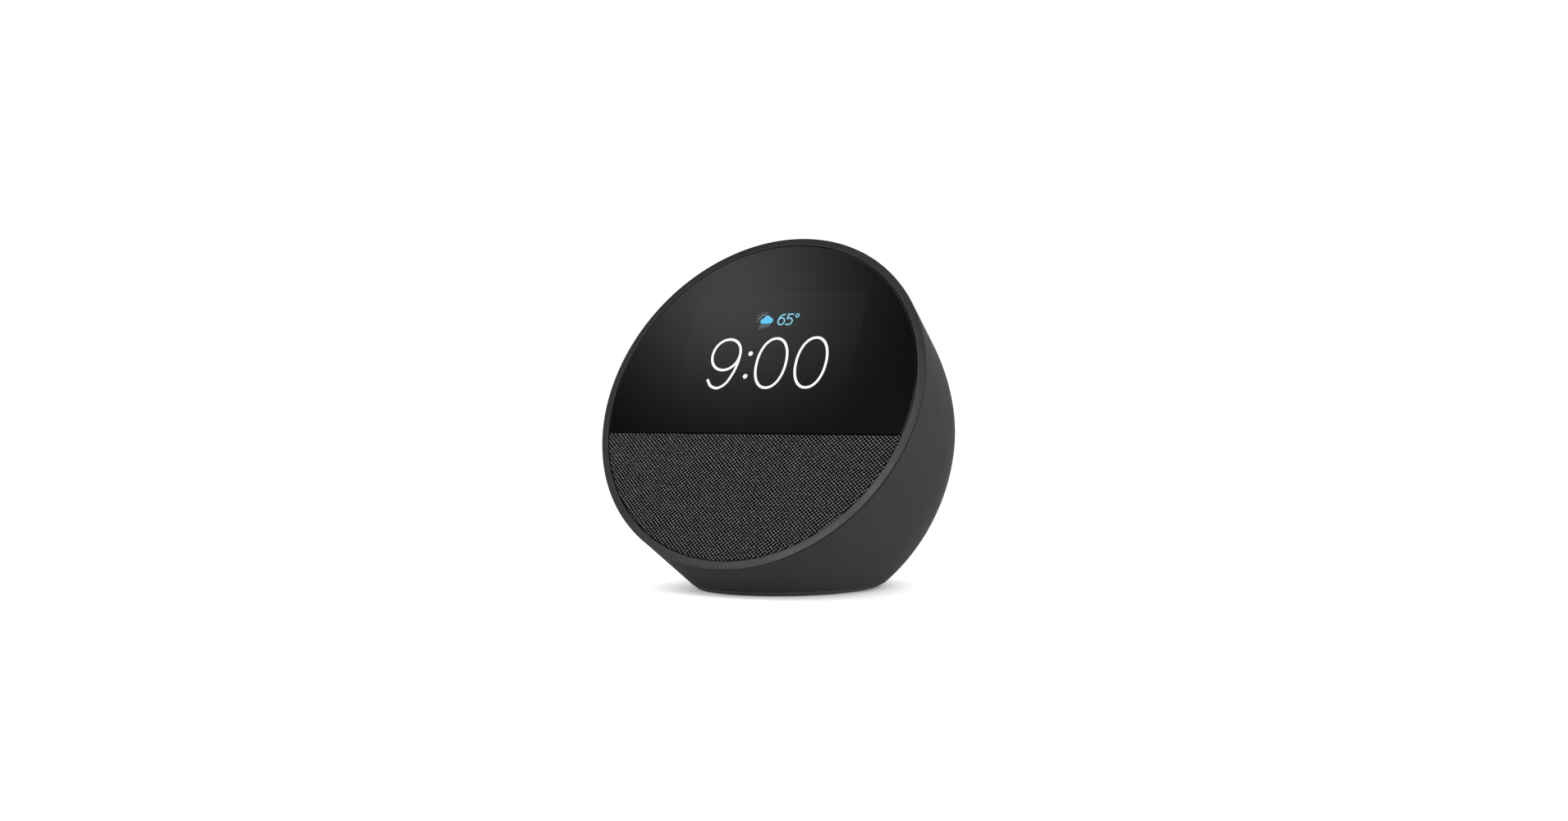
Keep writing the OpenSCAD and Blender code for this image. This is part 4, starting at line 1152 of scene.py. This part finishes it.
# The floor is evenly lit, apart from a soft shadow close to what stands on it
def make_floor():
    mesh = make_mesh("floor_form", circle(FLOOR_R, 0, FINE), [tuple(range(FINE))])
    made = Nodes("floor")
    tone = made.ramp(made.noise(3, 2), two_tones(grey(0.97), grey(0.99)))
    openness = made.add("ShaderNodeAmbientOcclusion", samples=8, distance=SHADOW_REACH)
    made.link(tone, openness.inputs["Color"])
    light = made.ramp(openness.outputs["Color"], [(at, grey(level)) for at, level in SHADOW_TONES])
    made.link(light, made.shader.inputs["Emission Color"])
    made.set(Base_Color=(*grey(0.02), 1), Emission_Strength=FLOOR_GLOW)
    made.set(Roughness=0.7, Specular_IOR_Level=0.1)
    mesh.materials.append(made.material)
    floor = bpy.data.objects.new("floor", mesh)
    bpy.context.scene.collection.objects.link(floor)


make_floor()

# The studio is white near the horizon and dimmer overhead. A dark screen stands to the front left,
# with a small soft lamp in the middle of it, and both show in the glass.
SCREEN_WAY = Vector((-0.526, -0.489, 0.696)).normalized()
SCREEN_HALF = 24
LAMP_HALF = 2.5
LAMP_GLOW = 1.08
# The studio's light below one height and above another, where a height is the z of a direction
HORIZON = 1.08
HORIZON_TO = 0.27
OVERHEAD = 0.4
OVERHEAD_FROM = 0.62
SCREEN_GLOW = 0.03
# A broader lamp, lower and nearer the middle, which the rim's lower right shows
FILL_WAY = Vector((-0.272, -0.813, 0.515)).normalized()
FILL_HALF = 6
FILL_GLOW = 13


def make_world():
    world = bpy.data.worlds.new("studio")
    world.use_nodes = True
    tree = world.node_tree
    tree.nodes.clear()

    def maths(operation, *values):
        return add_maths(tree, operation, *values)

    way = tree.nodes.new("ShaderNodeTexCoord").outputs["Generated"]
    parts = tree.nodes.new("ShaderNodeSeparateXYZ")
    tree.links.new(way, parts.inputs["Vector"])
    rise = tree.nodes.new("ShaderNodeMapRange")
    rise.interpolation_type = "SMOOTHSTEP"
    rise.inputs["From Min"].default_value = HORIZON_TO
    rise.inputs["From Max"].default_value = OVERHEAD_FROM
    rise.inputs["To Min"].default_value = HORIZON
    rise.inputs["To Max"].default_value = OVERHEAD
    tree.links.new(parts.outputs["Z"], rise.inputs["Value"])

    # A bell-shaped share of 1 in one direction, falling off over an angle
    def bell(middle, half_angle):
        toward = tree.nodes.new("ShaderNodeVectorMath")
        toward.operation = "DOT_PRODUCT"
        toward.inputs[1].default_value = middle
        tree.links.new(way, toward.inputs[0])
        off = maths("SUBTRACT", 1, toward.outputs["Value"])
        return maths("EXPONENT", maths("DIVIDE", off, -(math.radians(half_angle) ** 2)))

    screen = bell(SCREEN_WAY, SCREEN_HALF)
    beside = maths("MULTIPLY", rise.outputs["Result"], maths("SUBTRACT", 1, screen))
    level = maths("ADD", beside, maths("MULTIPLY", screen, SCREEN_GLOW))
    lamps = ((SCREEN_WAY, LAMP_HALF, LAMP_GLOW), (FILL_WAY, FILL_HALF, FILL_GLOW))
    for middle, half_angle, glow in lamps:
        level = maths("ADD", level, maths("MULTIPLY", bell(middle, half_angle), glow))
    background = tree.nodes.new("ShaderNodeBackground")
    background.inputs["Color"].default_value = (1, 1, 1, 1)
    tree.links.new(level, background.inputs["Strength"])
    output = tree.nodes.new("ShaderNodeOutputWorld")
    tree.links.new(background.outputs["Background"], output.inputs["Surface"])
    bpy.context.scene.world = world


make_world()

LAMPS_AIM = Vector((0, 0, 0.06))


# A large soft lamp that points at the display, placed in metres, with its power in watts
def add_lamp(name, place, size, power):
    data = bpy.data.lights.new(name, "AREA")
    data.shape = "DISK"
    data.size = size
    data.energy = power
    lamp = bpy.data.objects.new(name, data)
    lamp.location = place
    lamp.rotation_euler = (LAMPS_AIM - Vector(place)).to_track_quat("-Z", "Y").to_euler()
    bpy.context.scene.collection.objects.link(lamp)


add_lamp("right_lamp", place=(1.4, 0.0, 0.35), size=1.2, power=21)
add_lamp("top_lamp", place=(0.1, 0.1, 1.6), size=1.4, power=4)

# ---- Camera ----

# In metres, apart from the lens and the sensor
CAMERA_AT = (0.2746, -0.4762, 0.0568)
CAMERA_TO = (0.0145, -0.0281, 0.0561)
CAMERA_LENS = 39.45
CAMERA_SENSOR = 36
CAMERA_NEAR = 0.01
CAMERA_FAR = 60
camera_data = bpy.data.cameras.new("camera")
camera_data.lens = CAMERA_LENS
camera_data.sensor_width = CAMERA_SENSOR
camera_data.clip_start = CAMERA_NEAR
camera_data.clip_end = CAMERA_FAR
camera = bpy.data.objects.new("camera", camera_data)
camera.location = CAMERA_AT
camera.rotation_euler = (Vector(CAMERA_TO) - Vector(CAMERA_AT)).to_track_quat("-Z", "Y").to_euler()
bpy.context.scene.collection.objects.link(camera)
bpy.context.scene.camera = camera
bpy.context.scene.view_settings.view_transform = "Standard"
